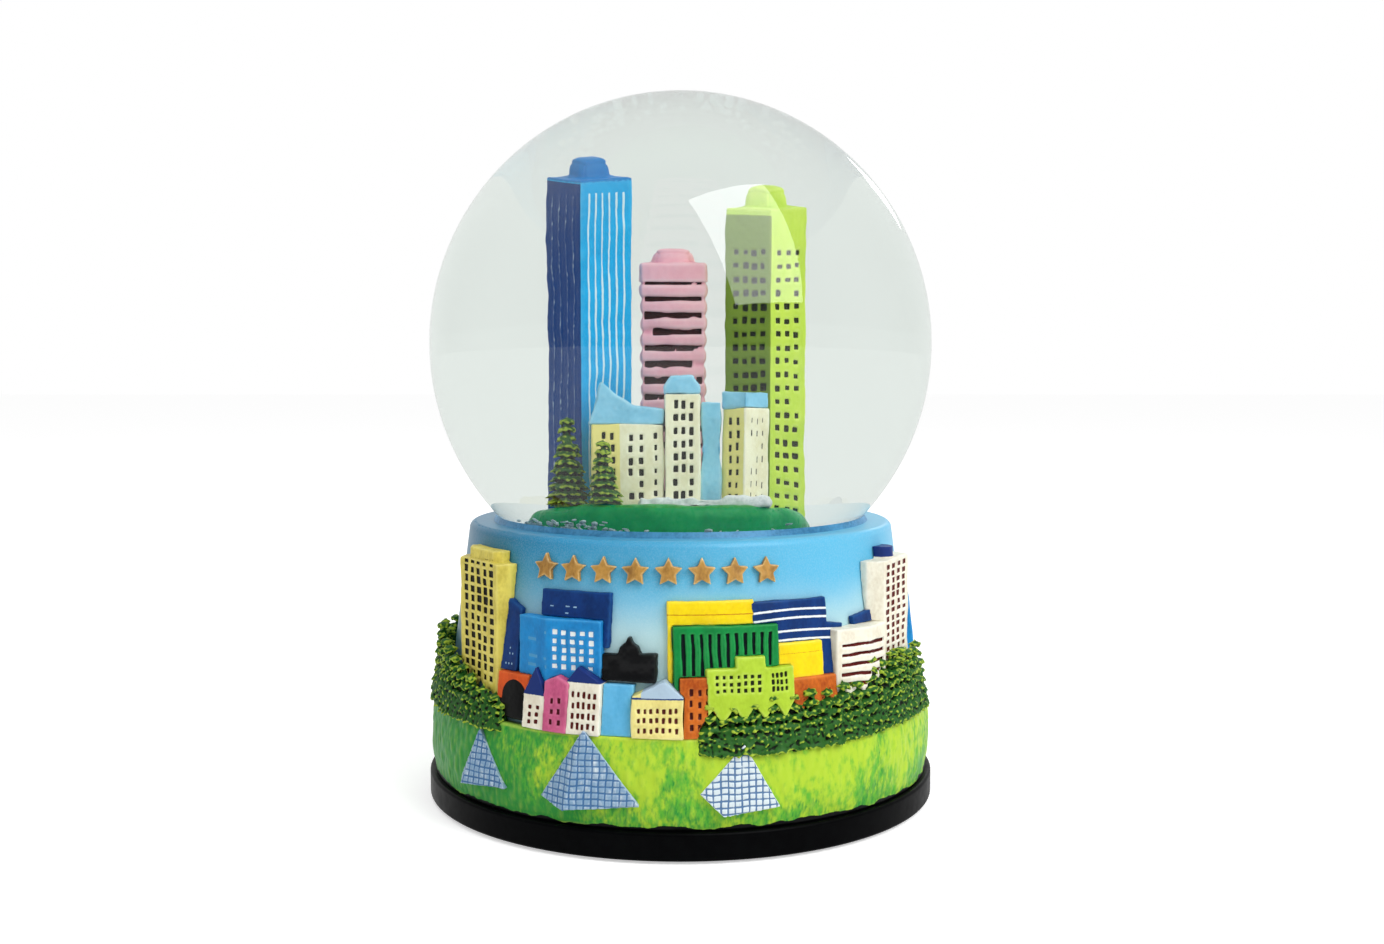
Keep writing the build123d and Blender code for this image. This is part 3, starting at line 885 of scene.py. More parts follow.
# Gold paint with strong painted shade in hollows and a strong painted highlight on edges.
GOLD = brushed(
    "gold_paint", "BC8C40", "6A4218", "F4D494", patch=0.7, wash=0.9, dry_brush=0.95, specular=0.3
)
FOOT_BLACK = plain("foot_black", "050607", "020203", 0.38, specular=0.03, grain_mm=1.2)
FELT = plain("green_felt", "1C4A2C", "0F2F1B", 0.95, grain_mm=0.12, depth_mm=0.1)
RUBBER = plain("rubber", "1E1F20", "101011", 0.8)
CEMENT = plain("cement", "D8D4C6", "B4AE9C", 0.85, grain_mm=0.5, depth_mm=0.08)
SEALANT = plain("sealant", "4C94C0", "2F6F98", 0.4, specular=0.2)
FOLIAGE = FoliagePaint()


# ---------------------------------------------------------------- ball
@dataclass
class Globe:
    """The blown ball with its neck, the liquid, and the seals that hold it in the drum."""

    rings: int = 150
    steps: int = 220

    def shell_line(self, radius: float, centre: float, neck: float, end: float) -> list[tuple[float, float]]:
        """Line from the crown down the ball and the neck to the neck's end."""
        stop = math.pi - math.asin(neck / radius)
        line = [(0.0, centre + radius)]
        for k in range(1, self.rings + 1):
            angle = stop * k / self.rings
            line.append((radius * math.sin(angle), centre + radius * math.cos(angle)))
        line.extend((neck, line[-1][1] + (end - line[-1][1]) * k / 4) for k in range(1, 5))
        return line

    def build(self) -> None:
        """Makes the glass in one closed skin whose two sides bend light for air and for liquid."""
        radius, centre = ball_size()
        end = extent("glass_globe")[0][2]
        plug_low, plug_high = extent("neck_stopper")
        neck = (plug_high[0] - plug_low[0]) / 2
        outer = self.shell_line(radius, centre, neck, end)
        inner = self.shell_line(radius - GLASS_WALL, centre, neck - GLASS_WALL, end)
        glass = lathe(inner + outer[::-1], self.steps, closed=False)
        outside = ClearGlass("ball_glass_outside", GLASS_IOR)
        thing = glass.piece("glass_ball", outside, ["glass_globe"], "globe_glass")
        thing.data.materials.append(ClearGlass("ball_glass_inside", GLASS_IOR / LIQUID_IOR).material())
        centres = read_vectors(thing.data.polygons, "center") / MM
        from_middle = np.linalg.norm(centres - np.array([0.0, 0.0, centre]), axis=1)
        in_ball = (from_middle < radius - GLASS_WALL / 2) & (centres[:, 2] > centre - radius * 0.85)
        thing.data.polygons.foreach_set("material_index", in_ball.astype(np.int32))
        thing.data.update()

    def dress(self) -> None:
        """Gives the carried-over pieces their finishes."""
        dress_node("liquid_fill", ClearLiquid())
        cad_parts["liquid_fill"].visible_shadow = False
        dress_node("neck_stopper", RUBBER)
        dress_node("neck_cement", CEMENT)
        dress_node("sealant_bead", SEALANT)


def dress_node(node: str, finish: Finish) -> None:
    """Gives a CAD node that stays in view its material."""
    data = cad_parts[node].data
    data.materials.clear()
    data.materials.append(finish.material())
    log.info("%s: carried over as %s", node, finish.name)


# ---------------------------------------------------------------- figurine
@dataclass
class Figurine:
    """The city in the ball: three towers, a hotel, two conifers, a snow bank and the ground."""

    blue_turn: float = 31.0
    lime_turn: float = -35.0

    def build(self) -> None:
        """Casts every piece of the figurine."""
        self.ground()
        self.blue_tower()
        self.pink_tower()
        self.lime_tower()
        self.hotel()
        self.garden()

    def ground(self) -> None:
        """Rounded disc with a lumpy brushed surface."""
        disc = Casting("ground_disc", 0.22, 3, 11)
        disc.mesh.wobble(0.16, 2.4, 3)
        disc.finish(GROUND, "ground_green", 0.07)

    def blue_tower(self) -> None:
        """Blue tower with pale pinstripes; its left walls are painted navy as painted shade, which also dims
        their stripes.
        """
        body = Casting("blue_tower", 0.16, 10, 12)
        front, left = self.blue_turn, self.blue_turn - 90
        body.round_cap(front)
        top = body.high[2] - 2.0
        for bearing, count in ((left, 4), (front, 6), (front + 90, 5), (front + 180, 5)):
            body.ribs(Wall(bearing, 0.5, 0.5, 0.0, 2.4), count, 0.24, -0.06)
        # Painted shade: navy on the walls that face left, with their pale stripes dimmed.
        dark = ramp(body.mesh.normals @ outward(left), 0.5, 0.75) * (body.height() < top - 0.4)
        body.mesh.mark("trim", dark)
        body.above("extra", top - 0.25, 0.9)
        body.mesh.marks["window"] *= (1 - 0.56 * dark) * (1 - body.mesh.marks["extra"])
        body.finish(TOWER_BLUE, "blue_paint", 0.07)

    def pink_tower(self) -> None:
        """Pink tower of plump floors with dark gaps between them."""
        body = Casting("pink_tower", 0.14, 12, 13)
        body.round_cap(0)
        top = body.high[2] - 3.2
        z = body.height()
        pitch = 1.58
        phase = (top - z) / pitch
        inside = (z < top) & (body.mesh.normals[:, 2] < 0.6)
        curve = np.cos(phase * 2 * math.pi)
        body.mesh.push(np.where(inside, -0.22 * (0.5 + 0.5 * curve) ** 2, 0.0))
        across = body.mesh.points @ rightward(0)
        middle = (body.low[0] + body.high[0]) / 2
        gap = ramp(curve + 0.16 * value_noise(body.mesh.points, 0.7, 6), 0.5, 0.74) * inside
        width = np.abs(across - middle) < 2.75
        breaks = value_noise(body.mesh.points * np.array([1, 1, 0.4]), 0.9, 5) > -0.5
        front = np.abs(body.mesh.points[:, 1] - (body.low[1] + body.high[1]) / 2) > 1.6
        body.mesh.mark("window", gap * width * breaks * front)
        body.mesh.push(-0.3 * body.mesh.marks["window"])
        body.finish(ROSE, "pink_paint", 0.06)

    def lime_tower(self) -> None:
        """Lime tower with rows of small dark windows; its left walls are painted olive as painted shade."""
        body = Casting("lime_tower", 0.14, 12, 14)
        left, right = self.lime_turn, self.lime_turn + 90
        body.round_cap(right - 90)
        top = body.high[2] - 2.0
        body.windows(Panes(Wall(left, 0.6, 0.4, 0.8, 4.6), 4, 20, 0.62, 0.46, 0.2))
        body.windows(Panes(Wall(right, 0.5, 0.6, 0.8, 4.6), 3, 20, 0.55, 0.4, 0.18, missing=0.05))
        for bearing in (left - 90, left + 180):
            body.windows(Panes(Wall(bearing, 0.6, 0.6, 0.8, 4.6), 4, 20, 0.55, 0.42, 0.18))
        # Painted shade: olive on the walls that face left.
        dark = ramp(body.mesh.normals @ outward(left), 0.5, 0.75) * (body.height() < top - 0.6)
        body.mesh.mark("trim", dark * 0.9)
        body.finish(TOWER_LIME, "lime_paint", 0.07)

    def hotel(self) -> None:
        """White and cream hotel with light-blue roofs."""
        west = Casting("hotel_west_wing", 0.12, 4, 15)
        west.zone("extra", lambda p: (-6.1 - p[:, 0]) / 0.2)
        west.windows(Panes(Wall(0, 0.55, 4.6, 0.5, 0.5), 2, 6, 0.36, 0.56, 0.16, missing=0.35))
        west.windows(Panes(Wall(0, 3.3, 1.6, 0.5, 0.6), 2, 6, 0.4, 0.58, 0.16, missing=0.1))
        west.windows(Panes(Wall(0, 6.1, 0.35, 0.8, 0.4), 1, 6, 0.5, 0.5, 0.16))
        west.windows(Panes(Wall(-90, 0.5, 0.5, 0.5, 0.5), 3, 5, 0.36, 0.5, 0.16, missing=0.2))
        west.finish(IVORY, "white_paint")
        centre = Casting("hotel_centre_tower", 0.12, 4, 16)
        centre.windows(Panes(Wall(0, 0.6, 0.35, 0.6, 0.3), 3, 8, 0.5, 0.58, 0.18, missing=0.12))
        centre.finish(IVORY, "white_paint")
        east = Casting("hotel_east_wing", 0.12, 4, 17)
        east.windows(Panes(Wall(-45, 0.5, 0.6, 0.4, 0.6), 2, 7, 0.44, 0.56, 0.18))
        east.zone("extra", lambda p: (6.6 - p[:, 0]) / 0.2)
        east.windows(Panes(Wall(45, 0.5, 0.4, 0.4, 0.5), 3, 7, 0.2, 0.5, 0.1, missing=0.15))
        east.finish(IVORY, "cream_paint")
        for seed, node in enumerate(("hotel_west_roof", "hotel_centre_cap", "hotel_link", "hotel_east_roof")):
            Casting(node, 0.12, 7, 18 + seed).finish(ROOF_BLUE, "light_blue_paint", 0.1)

    def garden(self) -> None:
        """Two conifers and the snow bank."""
        for node, seed in (("tall_conifer", 31), ("short_conifer", 32)):
            low, high = extent(node)
            axis = (low + high) / 2
            firs = Firs(seed)
            firs.fir((axis[0], axis[1], low[2]), high[2] - low[2], (high[0] - low[0]) * 0.6)
            firs.piece(node + "_leaves", [node])
        bank = Casting("snow_bank", 0.13, 3, 33)
        bank.mesh.wobble(0.35, 0.9, 8)
        bank.finish(SNOW, "snow", 0.1)


# ---------------------------------------------------------------- trees
class Firs:
    """Bushy firs made of leaf shards round a core, fused into one casting."""

    def __init__(self, seed: int) -> None:
        """Starts with no trees."""
        self.random = np.random.default_rng(seed)
        self.seed = seed
        self.points: list[tuple[float, float, float]] = []
        self.faces: list[tuple[int, ...]] = []

    def cone(self, foot: Sequence[float], height: float, radius: float) -> None:
        """Core of a tree."""
        start = len(self.points)
        sides = 10
        for k in range(sides):
            angle = 2 * math.pi * k / sides
            x, y = foot[0] + radius * math.cos(angle), foot[1] + radius * math.sin(angle)
            self.points.append((x, y, foot[2]))
        self.points.append((foot[0], foot[1], foot[2] + height))
        self.faces.append(tuple(range(start + sides - 1, start - 1, -1)))
        for k in range(sides):
            self.faces.append((start + k, start + (k + 1) % sides, start + sides))

    def leaf(self, root: Array, tip: Array, width: float, thick: float) -> None:
        """One flat leaf shard from root to tip."""
        start = len(self.points)
        along = tip - root
        side = np.cross(along, (0.0, 0.0, 1.0))
        side = side / max(np.linalg.norm(side), 1e-9) * width / 2
        lift = np.cross(side, along)
        lift = lift / max(np.linalg.norm(lift), 1e-9) * thick / 2
        middle = root + along * 0.45
        for point in (root, middle + side, middle + lift, middle - side, middle - lift, tip):
            self.points.append(tuple(point))
        for a, b in ((1, 2), (2, 3), (3, 4), (4, 1)):
            self.faces.append((start, start + b, start + a))
            self.faces.append((start + 5, start + a, start + b))

    def fir(
        self,
        foot: Sequence[float],
        height: float,
        radius: float,
        side: Optional[float] = None,
        fullness: float = 0.78,
        scale: float = 1.0,
    ) -> None:
        """One tree.

        Args:
            foot: middle of its foot.
            height: its height.
            radius: its radius at the foot.
            side: bearing that its leaves face, or None for all round.
            fullness: how fast it narrows; less is bushier at the top.
            scale: size of its leaves.
        """
        self.cone(foot, height * 0.93, radius * 0.62)
        base = np.array([foot[0], foot[1], 0.0])
        tiers = max(4, int(round(height / scale)))
        for tier in range(tiers):
            share = tier / tiers
            level = foot[2] + height * (0.06 + 0.86 * share)
            reach = radius * (1.04 - fullness * share)
            count = max(5, int(round(2 * math.pi * reach / (1.1 * scale))))
            turn = self.random.uniform(0, 2 * math.pi)
            for k in range(count):
                angle = turn + 2 * math.pi * (k + self.random.uniform(-0.2, 0.2)) / count
                out = np.array([math.cos(angle), math.sin(angle), 0.0])
                if side is not None and out @ outward(side) < -0.35:
                    continue
                length = reach * self.random.uniform(0.86, 1.1)
                droop = scale * self.random.uniform(0.15, 0.55)
                root = base + out * length * 0.25 + np.array([0, 0, level + 0.42])
                tip = base + out * length + np.array([0, 0, level - droop])
                self.leaf(root, tip, 1.45 * scale * self.random.uniform(0.75, 1.25), 0.62 * scale)

    def piece(self, name: str, replaces: Sequence[str]) -> bpy.types.Object:
        """Fuses the trees and paints them."""
        mesh = cast(raw_mesh(self.points, self.faces), 0.135, 1)
        mesh.wobble(0.05, 0.5, self.seed)
        mesh.curvature_marks(0.022)
        return mesh.piece(name, FOLIAGE, replaces, "tree_paint")


@dataclass
class TreeBelts:
    """Rows of firs in front of the town.

    Each row has its turn from a peak in degrees, its share of the height and its place in from the front.
    """

    half_pitch: float = 1.9
    radius: float = 1.75
    extra_height: float = 0.9
    rows: tuple[tuple[float, float, float], ...] = (
        (0.0, 1.14, 1.75), (2.2, 0.88, 1.55), (-1.1, 0.58, 1.3), (1.1, 0.4, 1.2),
    )

    def build(self) -> None:
        """Plants each belt inside its CAD node's extent."""
        for node, seed in (("left_tree_belt", 41), ("right_tree_belt", 42), ("rear_tree_belt", 43)):
            self.belt(node, seed)

    def belt(self, node: str, seed: int) -> None:
        """Plants a fir at each peak of the CAD belt's outline, with lower ones in front and between."""
        corners = node_points(node)
        bearings = bearing_of(corners) % 360 if node == "rear_tree_belt" else bearing_of(corners)
        reach = np.hypot(corners[:, 0], corners[:, 1])
        firs = Firs(seed)
        for peak in self.peaks(bearings, corners[:, 2]):
            near = np.abs(bearings - peak) < 2.5
            top, foot, radius = corners[near, 2].max(), corners[near, 2].min(), reach[near].max()
            for turn, share, inset in self.rows:
                place = outward(peak + turn) * (radius - inset)
                tall = (top - foot + self.extra_height) * share * firs.random.uniform(0.94, 1.06)
                spread = self.radius * firs.random.uniform(0.85, 1.1) * (0.75 + 0.3 * share)
                firs.fir((place[0], place[1], foot), tall, spread, peak, 0.62, 1.3)
        firs.piece(node + "_firs", [node])

    def peaks(self, bearings: Array, heights: Array) -> list[float]:
        """Bearings at which the belt's outline is highest between its neighbours."""
        found = []
        for bearing in np.arange(bearings.min() + 0.5, bearings.max() - 0.5, 0.25):
            close = np.abs(bearings - bearing) < 0.4
            wide = np.abs(bearings - bearing) < self.half_pitch
            if close.any() and heights[close].max() >= heights[wide].max() - 1e-3:
                if not found or bearing - found[-1] > self.half_pitch:
                    found.append(float(bearing))
        return found


# ---------------------------------------------------------------- lawn, pyramids and stars
@dataclass
class Lawn:
    """The brushed lawn round the drum's foot."""

    steps: int = 900
    rings: int = 60
    thick_top: float = 1.4
    thick_foot: float = 1.2

    def build(self) -> None:
        """Turns the lawn's own section, then roughens it with brush marks."""
        low, high = extent("grass_skirt")
        corners = node_points("grass_skirt")
        reach = np.hypot(corners[:, 0], corners[:, 1])
        levels = np.linspace(low[2], high[2], 12)
        outer = [reach[np.abs(corners[:, 2] - level) < 0.9].max() for level in levels]
        rows = (low[2] + (high[2] - low[2]) * k / self.rings for k in range(self.rings + 1))
        line = [(float(np.interp(level, levels, outer)), level) for level in rows]
        back = [(line[-1][0] - self.thick_top, high[2]), (line[0][0] - self.thick_foot, low[2])]
        mesh = lathe(line + back, self.steps)
        self.brush(mesh, low[2], high[2])
        mesh.curvature_marks(0.03)
        mesh.piece("grass_skirt_lawn", LawnPaint(), ["grass_skirt"], "grass_paint")

    def brush(self, mesh: Mesh, low: float, high: float) -> None:
        """Upright strokes, lumps and a wavy painted foot line."""
        p = mesh.points
        radius = np.hypot(p[:, 0], p[:, 1])
        outside = ramp(radius, radius.max() - 2.4, radius.max() - 1.5)
        stroke = value_noise(p * np.array([1, 1, 0.5]), 0.55, 71)
        lumps = value_noise(p, 2.6, 72)
        away = p / radius[:, None] * np.array([1, 1, 0])
        fade = ramp(p[:, 2], low, low + 0.8)
        mesh.push((0.1 * stroke + 0.12 * lumps - 0.12) * outside * fade, away)
        round_foot = p * np.array([1, 1, 0])
        edge = value_noise(round_foot, 1.9, 73) * 0.28 + value_noise(round_foot, 0.6, 74) * 0.1
        mesh.mark("foot", soft_mask(low + 0.42 + edge - p[:, 2], 0.2))
        mesh.mark("low", ramp(p[:, 2], high - 3.0, low + 1.0))


@dataclass
class Pyramids:
    """Three glass-house pyramids on the lawn."""

    bar_pitch: float = 0.8
    course: float = 0.72

    def build(self) -> None:
        """Casts each pyramid and glazes its faces."""
        whites = {"left_pyramid": 0.42, "centre_pyramid": 0.4, "right_pyramid": 0.85}
        for seed, (node, white) in enumerate(whites.items()):
            body = Casting(node, 0.11, 1, 60 + seed)
            self.glaze(body)
            body.finish(LatticePaint(node + "_panes", white=white), "pyramid_paint", 0.03)

    def glaze(self, body: Casting) -> None:
        """Cuts the panes between level courses and upright bars."""
        p = body.mesh.points
        middle = (body.low + body.high) / 2
        bearing = float(bearing_of(middle[None])[0])
        across = p @ rightward(bearing)
        sway = 0.1 * value_noise(p, 1.4, body.seed)
        columns = (across + sway) / self.bar_pitch
        courses = (p[:, 2] + sway) / self.course
        off_u = np.abs(columns - np.floor(columns) - 0.5) * self.bar_pitch
        off_z = np.abs(courses - np.floor(courses) - 0.5) * self.course
        gap = np.minimum(self.bar_pitch / 2 - off_u, self.course / 2 - off_z)
        bar = soft_mask(0.1 - gap) * (0.8 + 0.2 * value_noise(p, 0.8, body.seed))
        facing = body.mesh.normals @ outward(bearing) > 0.1
        body.mesh.mark("window", bar * facing)
        body.mesh.push(-0.1 * bar * facing)


class Stars:
    """Raised gold stars in the band under the rim."""

    def build(self) -> None:
        """Softens the CAD stars into puffy castings."""
        mesh = cast(node_mesh("gold_stars"), 0.09, 2)
        mesh.wobble(0.04, 0.6, 80)
        mesh.curvature_marks()
        mesh.piece("gold_stars_casting", GOLD, ["gold_stars"], "gold_paint")


# ---------------------------------------------------------------- town
@dataclass(frozen=True)
class Stripe:
    """A painted line across a building; drop is its depth below the top and arch its bow, in millimetres."""

    kind: str
    drop: float
    strength: float
    half_width: float
    arch: float = 0.0


@dataclass(frozen=True)
class Building:
    """One relief building: its CAD node, seed, paint and slot, and what is cut or painted on it.

    roof is the depth of a painted roof, grooves are the arguments of Casting.ribs, and dress is any
    further work, done before the panes are cut.
    """

    node: str
    seed: int
    paint: BrushedPaint
    slot: str
    panes: Sequence[Panes] = ()
    roof: float = 0.0
    stripes: Sequence[Stripe] = ()
    grooves: Sequence[tuple] = ()
    dress: Optional[Callable[[Casting], None]] = None
    rounds: int = 4
    wobble: float = 0.045

    def build(self) -> None:
        """Casts and paints it."""
        body = Casting(self.node, rounds=self.rounds, seed=self.seed)
        if self.roof:
            body.above("trim", body.high[2] - self.roof)
        for stripe in self.stripes:
            off = body.height() - body.high[2] + stripe.drop - stripe.arch * bow(body.mesh.points)
            body.mesh.mark(stripe.kind, np.clip(stripe.strength - np.abs(off) / stripe.half_width, 0, 1))
        if self.dress:
            self.dress(body)
        for panes in self.panes:
            body.windows(panes)
        for groove in self.grooves:
            body.ribs(*groove)
        body.finish(self.paint, self.slot, self.wobble)


def bow(points: Array) -> Array:
    """Share of the arch that a painted stripe follows."""
    return np.cos(np.radians((bearing_of(points) - 26.0) * 9))


def doorway(body: Casting) -> None:
    """Arched doorway with straight sides under a round head, and a dark sill."""
    bearing, spring, half = -38.4, body.low[2] + 2.6, 1.9
    points = body.mesh.points
    across = np.abs(points @ rightward(bearing))
    rise = np.maximum(points[:, 2] - spring, 0)
    body.mesh.mark("window", soft_mask(half - np.hypot(across, rise)))
    body.mesh.mark("window", np.clip((body.low[2] + 2.2 - points[:, 2]) / EDGE, 0, 1))


def gable_roof(body: Casting) -> None:
    """Pale roof on the right of the gable."""
    gable = -8.0
    eave = body.high[2] - 1.9
    body.zone("extra", lambda p: ((p[:, 2] - eave) / EDGE) * (bearing_of(p) > gable))


HOUSES = (
    Building("orange_archway", 101, RED_ORANGE, "orange_paint", dress=doorway),
    Building(
        "white_cottage", 102, WHITE_MAROON, "white_paint",
        [Panes(Wall(-32.1, 0.45, 0.45, 0.3, 3.4), 2, 3, 0.42, 0.52)], roof=3.05,
    ),
    Building("pink_house", 103, PINK, "pink_paint", [Panes(Wall(-26.6, 0.5, 0.5, 0.3, 1.8), 2, 3, 0.4, 0.5)]),
    Building(
        "white_apartments", 104, WHITE_MAROON, "white_paint",
        [Panes(Wall(-20.4, 0.25, 0.25, 0.25, 2.0), 5, 4, 0.48, 0.6)], roof=1.75,
    ),
    Building("light_blue_block", 105, PALE_BLUE, "light_blue_paint"),
    Building(
        "cream_house", 106, CREAM_MAROON, "cream_paint",
        [Panes(Wall(-4.7, 0.3, 0.3, 0.3, 2.2), 7, 3, 0.45, 0.5)],
        stripes=[Stripe("trim", 1.9, 1.0, 0.22)], dress=gable_roof,
    ),
    Building(
        "orange_house", 107, ORANGE, "orange_paint", [Panes(Wall(3.6, 0.7, 0.4, 0.4, 0.8), 3, 4, 0.4, 0.55)]
    ),
)
PUBLIC_BUILDINGS = (
    Building(
        "lime_town_hall", 111, LIME, "lime_paint",
        [
            Panes(Wall(14.8, 0.5, 3.6, 2.6, 1.6), 7, 3, 0.5, 0.66),
            Panes(Wall(14.8, 7.2, 0.5, 2.6, 1.6), 4, 3, 0.5, 0.66),
        ],
        rounds=5,
    ),
    Building(
        "orange_block", 112, ORANGE, "orange_paint",
        [Panes(Wall(30.0, 0.6, 0.4, 0.6, 0.9), 4, 2, 0.16, 0.2, 0.05, 0.5)], rounds=5,
    ),
    Building(
        "white_terraced_block", 113, WHITE_MAROON, "white_paint",
        grooves=[(Wall(bearing, 0.5, 0.5, 0.5, 1.2), 5, 0.36, 0.22, False) for bearing in (28.0, 58.9)],
    ),
)
TALL_TOWERS = (
    Building(
        "cream_tower", 121, CREAM, "cream_paint",
        [Panes(Wall(-55.0, 0.5, 0.5, 0.8, 0.7, 24), 5, 13, 0.6, 0.7)],
    ),
    Building(
        "white_tower", 122, WHITE_MAROON, "white_paint",
        [Panes(Wall(62.0, 0.4, 0.6, 0.8, 0.8, 24), 4, 13, 0.62, 0.62)], roof=1.25,
    ),
)
BACK_ROW = (
    Building(
        "navy_slim_tower", 131, NAVY, "navy_paint",
        [Panes(Wall(-42.6, 0.5, 0.5, 0.4, 5.0), 3, 4, 0.35, 0.45, 0.06, 0.35)], rounds=5,
    ),
    Building(
        "blue_two_faced_block", 132, BLUE, "blue_paint",
        [
            Panes(Wall(-17.5, 0.5, 0.5, 0.7, 0.8, 14), 5, 5, 0.55, 0.62, 0.12),
            Panes(Wall(-42.9, 0.8, 0.8, 0.9, 0.9, 12), 3, 5, 0.5, 0.4, 0.05, 0.3, "trim"),
        ],
    ),
    Building(
        "navy_slab", 133, NAVY, "navy_paint",
        [Panes(Wall(-24.7, 0.8, 1.6, 2.6, 1.4), 6, 2, 0.5, 0.18, 0.05, 0.5)],
    ),
    Building("black_domed_hall", 134, BLACK, "black_paint", rounds=5, wobble=0.07),
    Building("yellow_slab", 135, YELLOW, "yellow_paint", stripes=[Stripe("window", 1.5, 1.1, 0.09)]),
    Building(
        "green_ribbed_block", 136, GREEN, "green_paint",
        grooves=[(Wall(10.0, 0.5, 0.3, 0.0, 0.75), 11, 0.36, 0.3)],
    ),
    Building(
        "striped_tower", 137, NAVY, "navy_paint",
        stripes=[Stripe("trim", drop, 1.2, 0.17, 0.25) for drop in (1.35, 2.3, 3.75, 4.75)],
    ),
    Building(
        "yellow_block", 138, YELLOW, "yellow_paint", stripes=[Stripe("window", 1.2, 0.8, 0.08)], rounds=5
    ),
    Building("navy_side_block", 139, NAVY, "navy_paint", rounds=5),
)
REAR = (
    Building(
        "rear_blue_tower", 141, BLUE, "blue_paint", [Panes(Wall(92.0, 0.6, 0.6, 0.8, 2.2), 4, 8, 0.5, 0.55)]
    ),
    Building(
        "rear_orange_houses", 142, ORANGE, "orange_paint",
        [Panes(Wall(103.0, 0.4, 0.4, 0.4, 2.6), 4, 3, 0.42, 0.55)],
    ),
    Building(
        "rear_yellow_block", 143, YELLOW, "yellow_paint",
        [Panes(Wall(118.0, 0.6, 0.6, 0.6, 1.0), 6, 5, 0.45, 0.4, 0.15)],
    ),
    Building(
        "rear_pink_house", 144, PINK, "pink_paint",
        [Panes(Wall(131.0, 0.5, 0.5, 0.3, 2.4), 3, 3, 0.42, 0.5)], rounds=5,
    ),
    Building(
        "rear_white_tower", 145, WHITE_MAROON, "white_paint",
        [Panes(Wall(146.0, 0.6, 0.6, 0.8, 4.4), 5, 11, 0.45, 0.55)],
    ),
    Building(
        "rear_green_block", 146, GREEN, "green_paint",
        grooves=[(Wall(166.0, 0.4, 0.4, 0.0, 0.8), 8, 0.36, 0.28)],
    ),
    Building(
        "rear_cream_hall", 147, CREAM, "cream_paint",
        [Panes(Wall(186.0, 0.5, 0.5, 0.4, 2.3), 8, 3, 0.42, 0.55)],
    ),
    Building(
        "rear_navy_tower", 148, NAVY, "navy_paint",
        [Panes(Wall(205.0, 0.6, 0.6, 0.8, 1.0), 4, 9, 0.4, 0.5, 0.08, 0.3)],
    ),
)


class Town:
    """The painted skyline round the drum."""

    def build(self) -> None:
        """Works along the front, then the towers, the back row and the rear."""
        for building in HOUSES + PUBLIC_BUILDINGS + TALL_TOWERS + BACK_ROW + REAR:
            building.build()


# ---------------------------------------------------------------- flakes
@dataclass
class Flakes:
    """Loose snow chips, settled in the trough round the figurine."""

    count: int = 1500
    size: float = 0.85
    thick: float = 0.14

    def build(self) -> None:
        """Scatters the chips over the ball's inner floor, most of them at the front left."""
        random = np.random.default_rng(90)
        radius, centre = ball_size()
        inside = radius - GLASS_WALL
        disc_low, disc_high = extent("ground_disc")
        disc_x, disc_r = (disc_low[0] + disc_high[0]) / 2, (disc_high[0] - disc_low[0]) / 2
        points, faces = [], []
        placed = 0
        while placed < self.count:
            heap = random.random() < 0.72
            bearing = random.normal(-50.0, 14.0) if heap else random.uniform(-180.0, 180.0)
            ring = random.uniform(15.4, 20.5) if heap else random.uniform(16.8, 21.5)
            lift = random.uniform(0.25, 2.3) if heap else abs(random.normal(0.0, 0.4)) + 0.25
            spot = outward(bearing) * ring
            if math.hypot(spot[0] - disc_x, spot[1]) < disc_r + 0.5:
                continue
            spot[2] = centre - math.sqrt((inside - lift) ** 2 - ring**2)
            self.chip(points, faces, spot, random)
            placed += 1
        mesh = Mesh(raw_mesh(points, faces))
        mesh.piece("snow_flakes_loose", CHIPS, ["snow_flakes"], "snow")

    def chip(self, points: list, faces: list, spot: Array, random: np.random.Generator) -> None:
        """One six-sided chip, tilted at random."""
        start = len(points)
        tilt = random.normal(0, 0.45, 2)
        up = np.array([tilt[0], tilt[1], 1.0])
        up /= np.linalg.norm(up)
        side = np.cross(up, (0.3, 1.0, 0.1))
        side /= np.linalg.norm(side)
        other = np.cross(up, side)
        size = self.size * random.uniform(0.6, 1.25)
        for level in (-0.5, 0.5):
            for k in range(6):
                angle = math.pi / 3 * k
                offset = size / 2 * (math.cos(angle) * side + math.sin(angle) * other)
                points.append(tuple(spot + offset + up * self.thick * level))
        faces.append(tuple(start + k for k in range(5, -1, -1)))
        faces.append(tuple(start + 6 + k for k in range(6)))
        for k in range(6):
            n = (k + 1) % 6
            faces.append((start + k, start + n, start + 6 + n, start + 6 + k))


# ---------------------------------------------------------------- studio
class Lamp(Enum):
    """Lamps round the object.

    Each has a bearing, an elevation, a distance, a width, a height, a power and whether it only glints.
    """

    KEY = (50.0, 38.0, 0.55, 0.34, 0.34, 1.9, False)
    FILL = (-55.0, 22.0, 0.6, 0.4, 0.4, 0.2, False)
    TOP = (0.0, 80.0, 0.5, 0.4, 0.4, 0.5, False)
    BACK = (170.0, 35.0, 0.6, 0.4, 0.4, 0.3, False)
    WINDOW = (38.5, 42.0, 0.42, 0.24, 0.38, 1.5, True)
    GLINT = (155.0, 20.0, 0.6, 0.08, 0.08, 0.12, True)


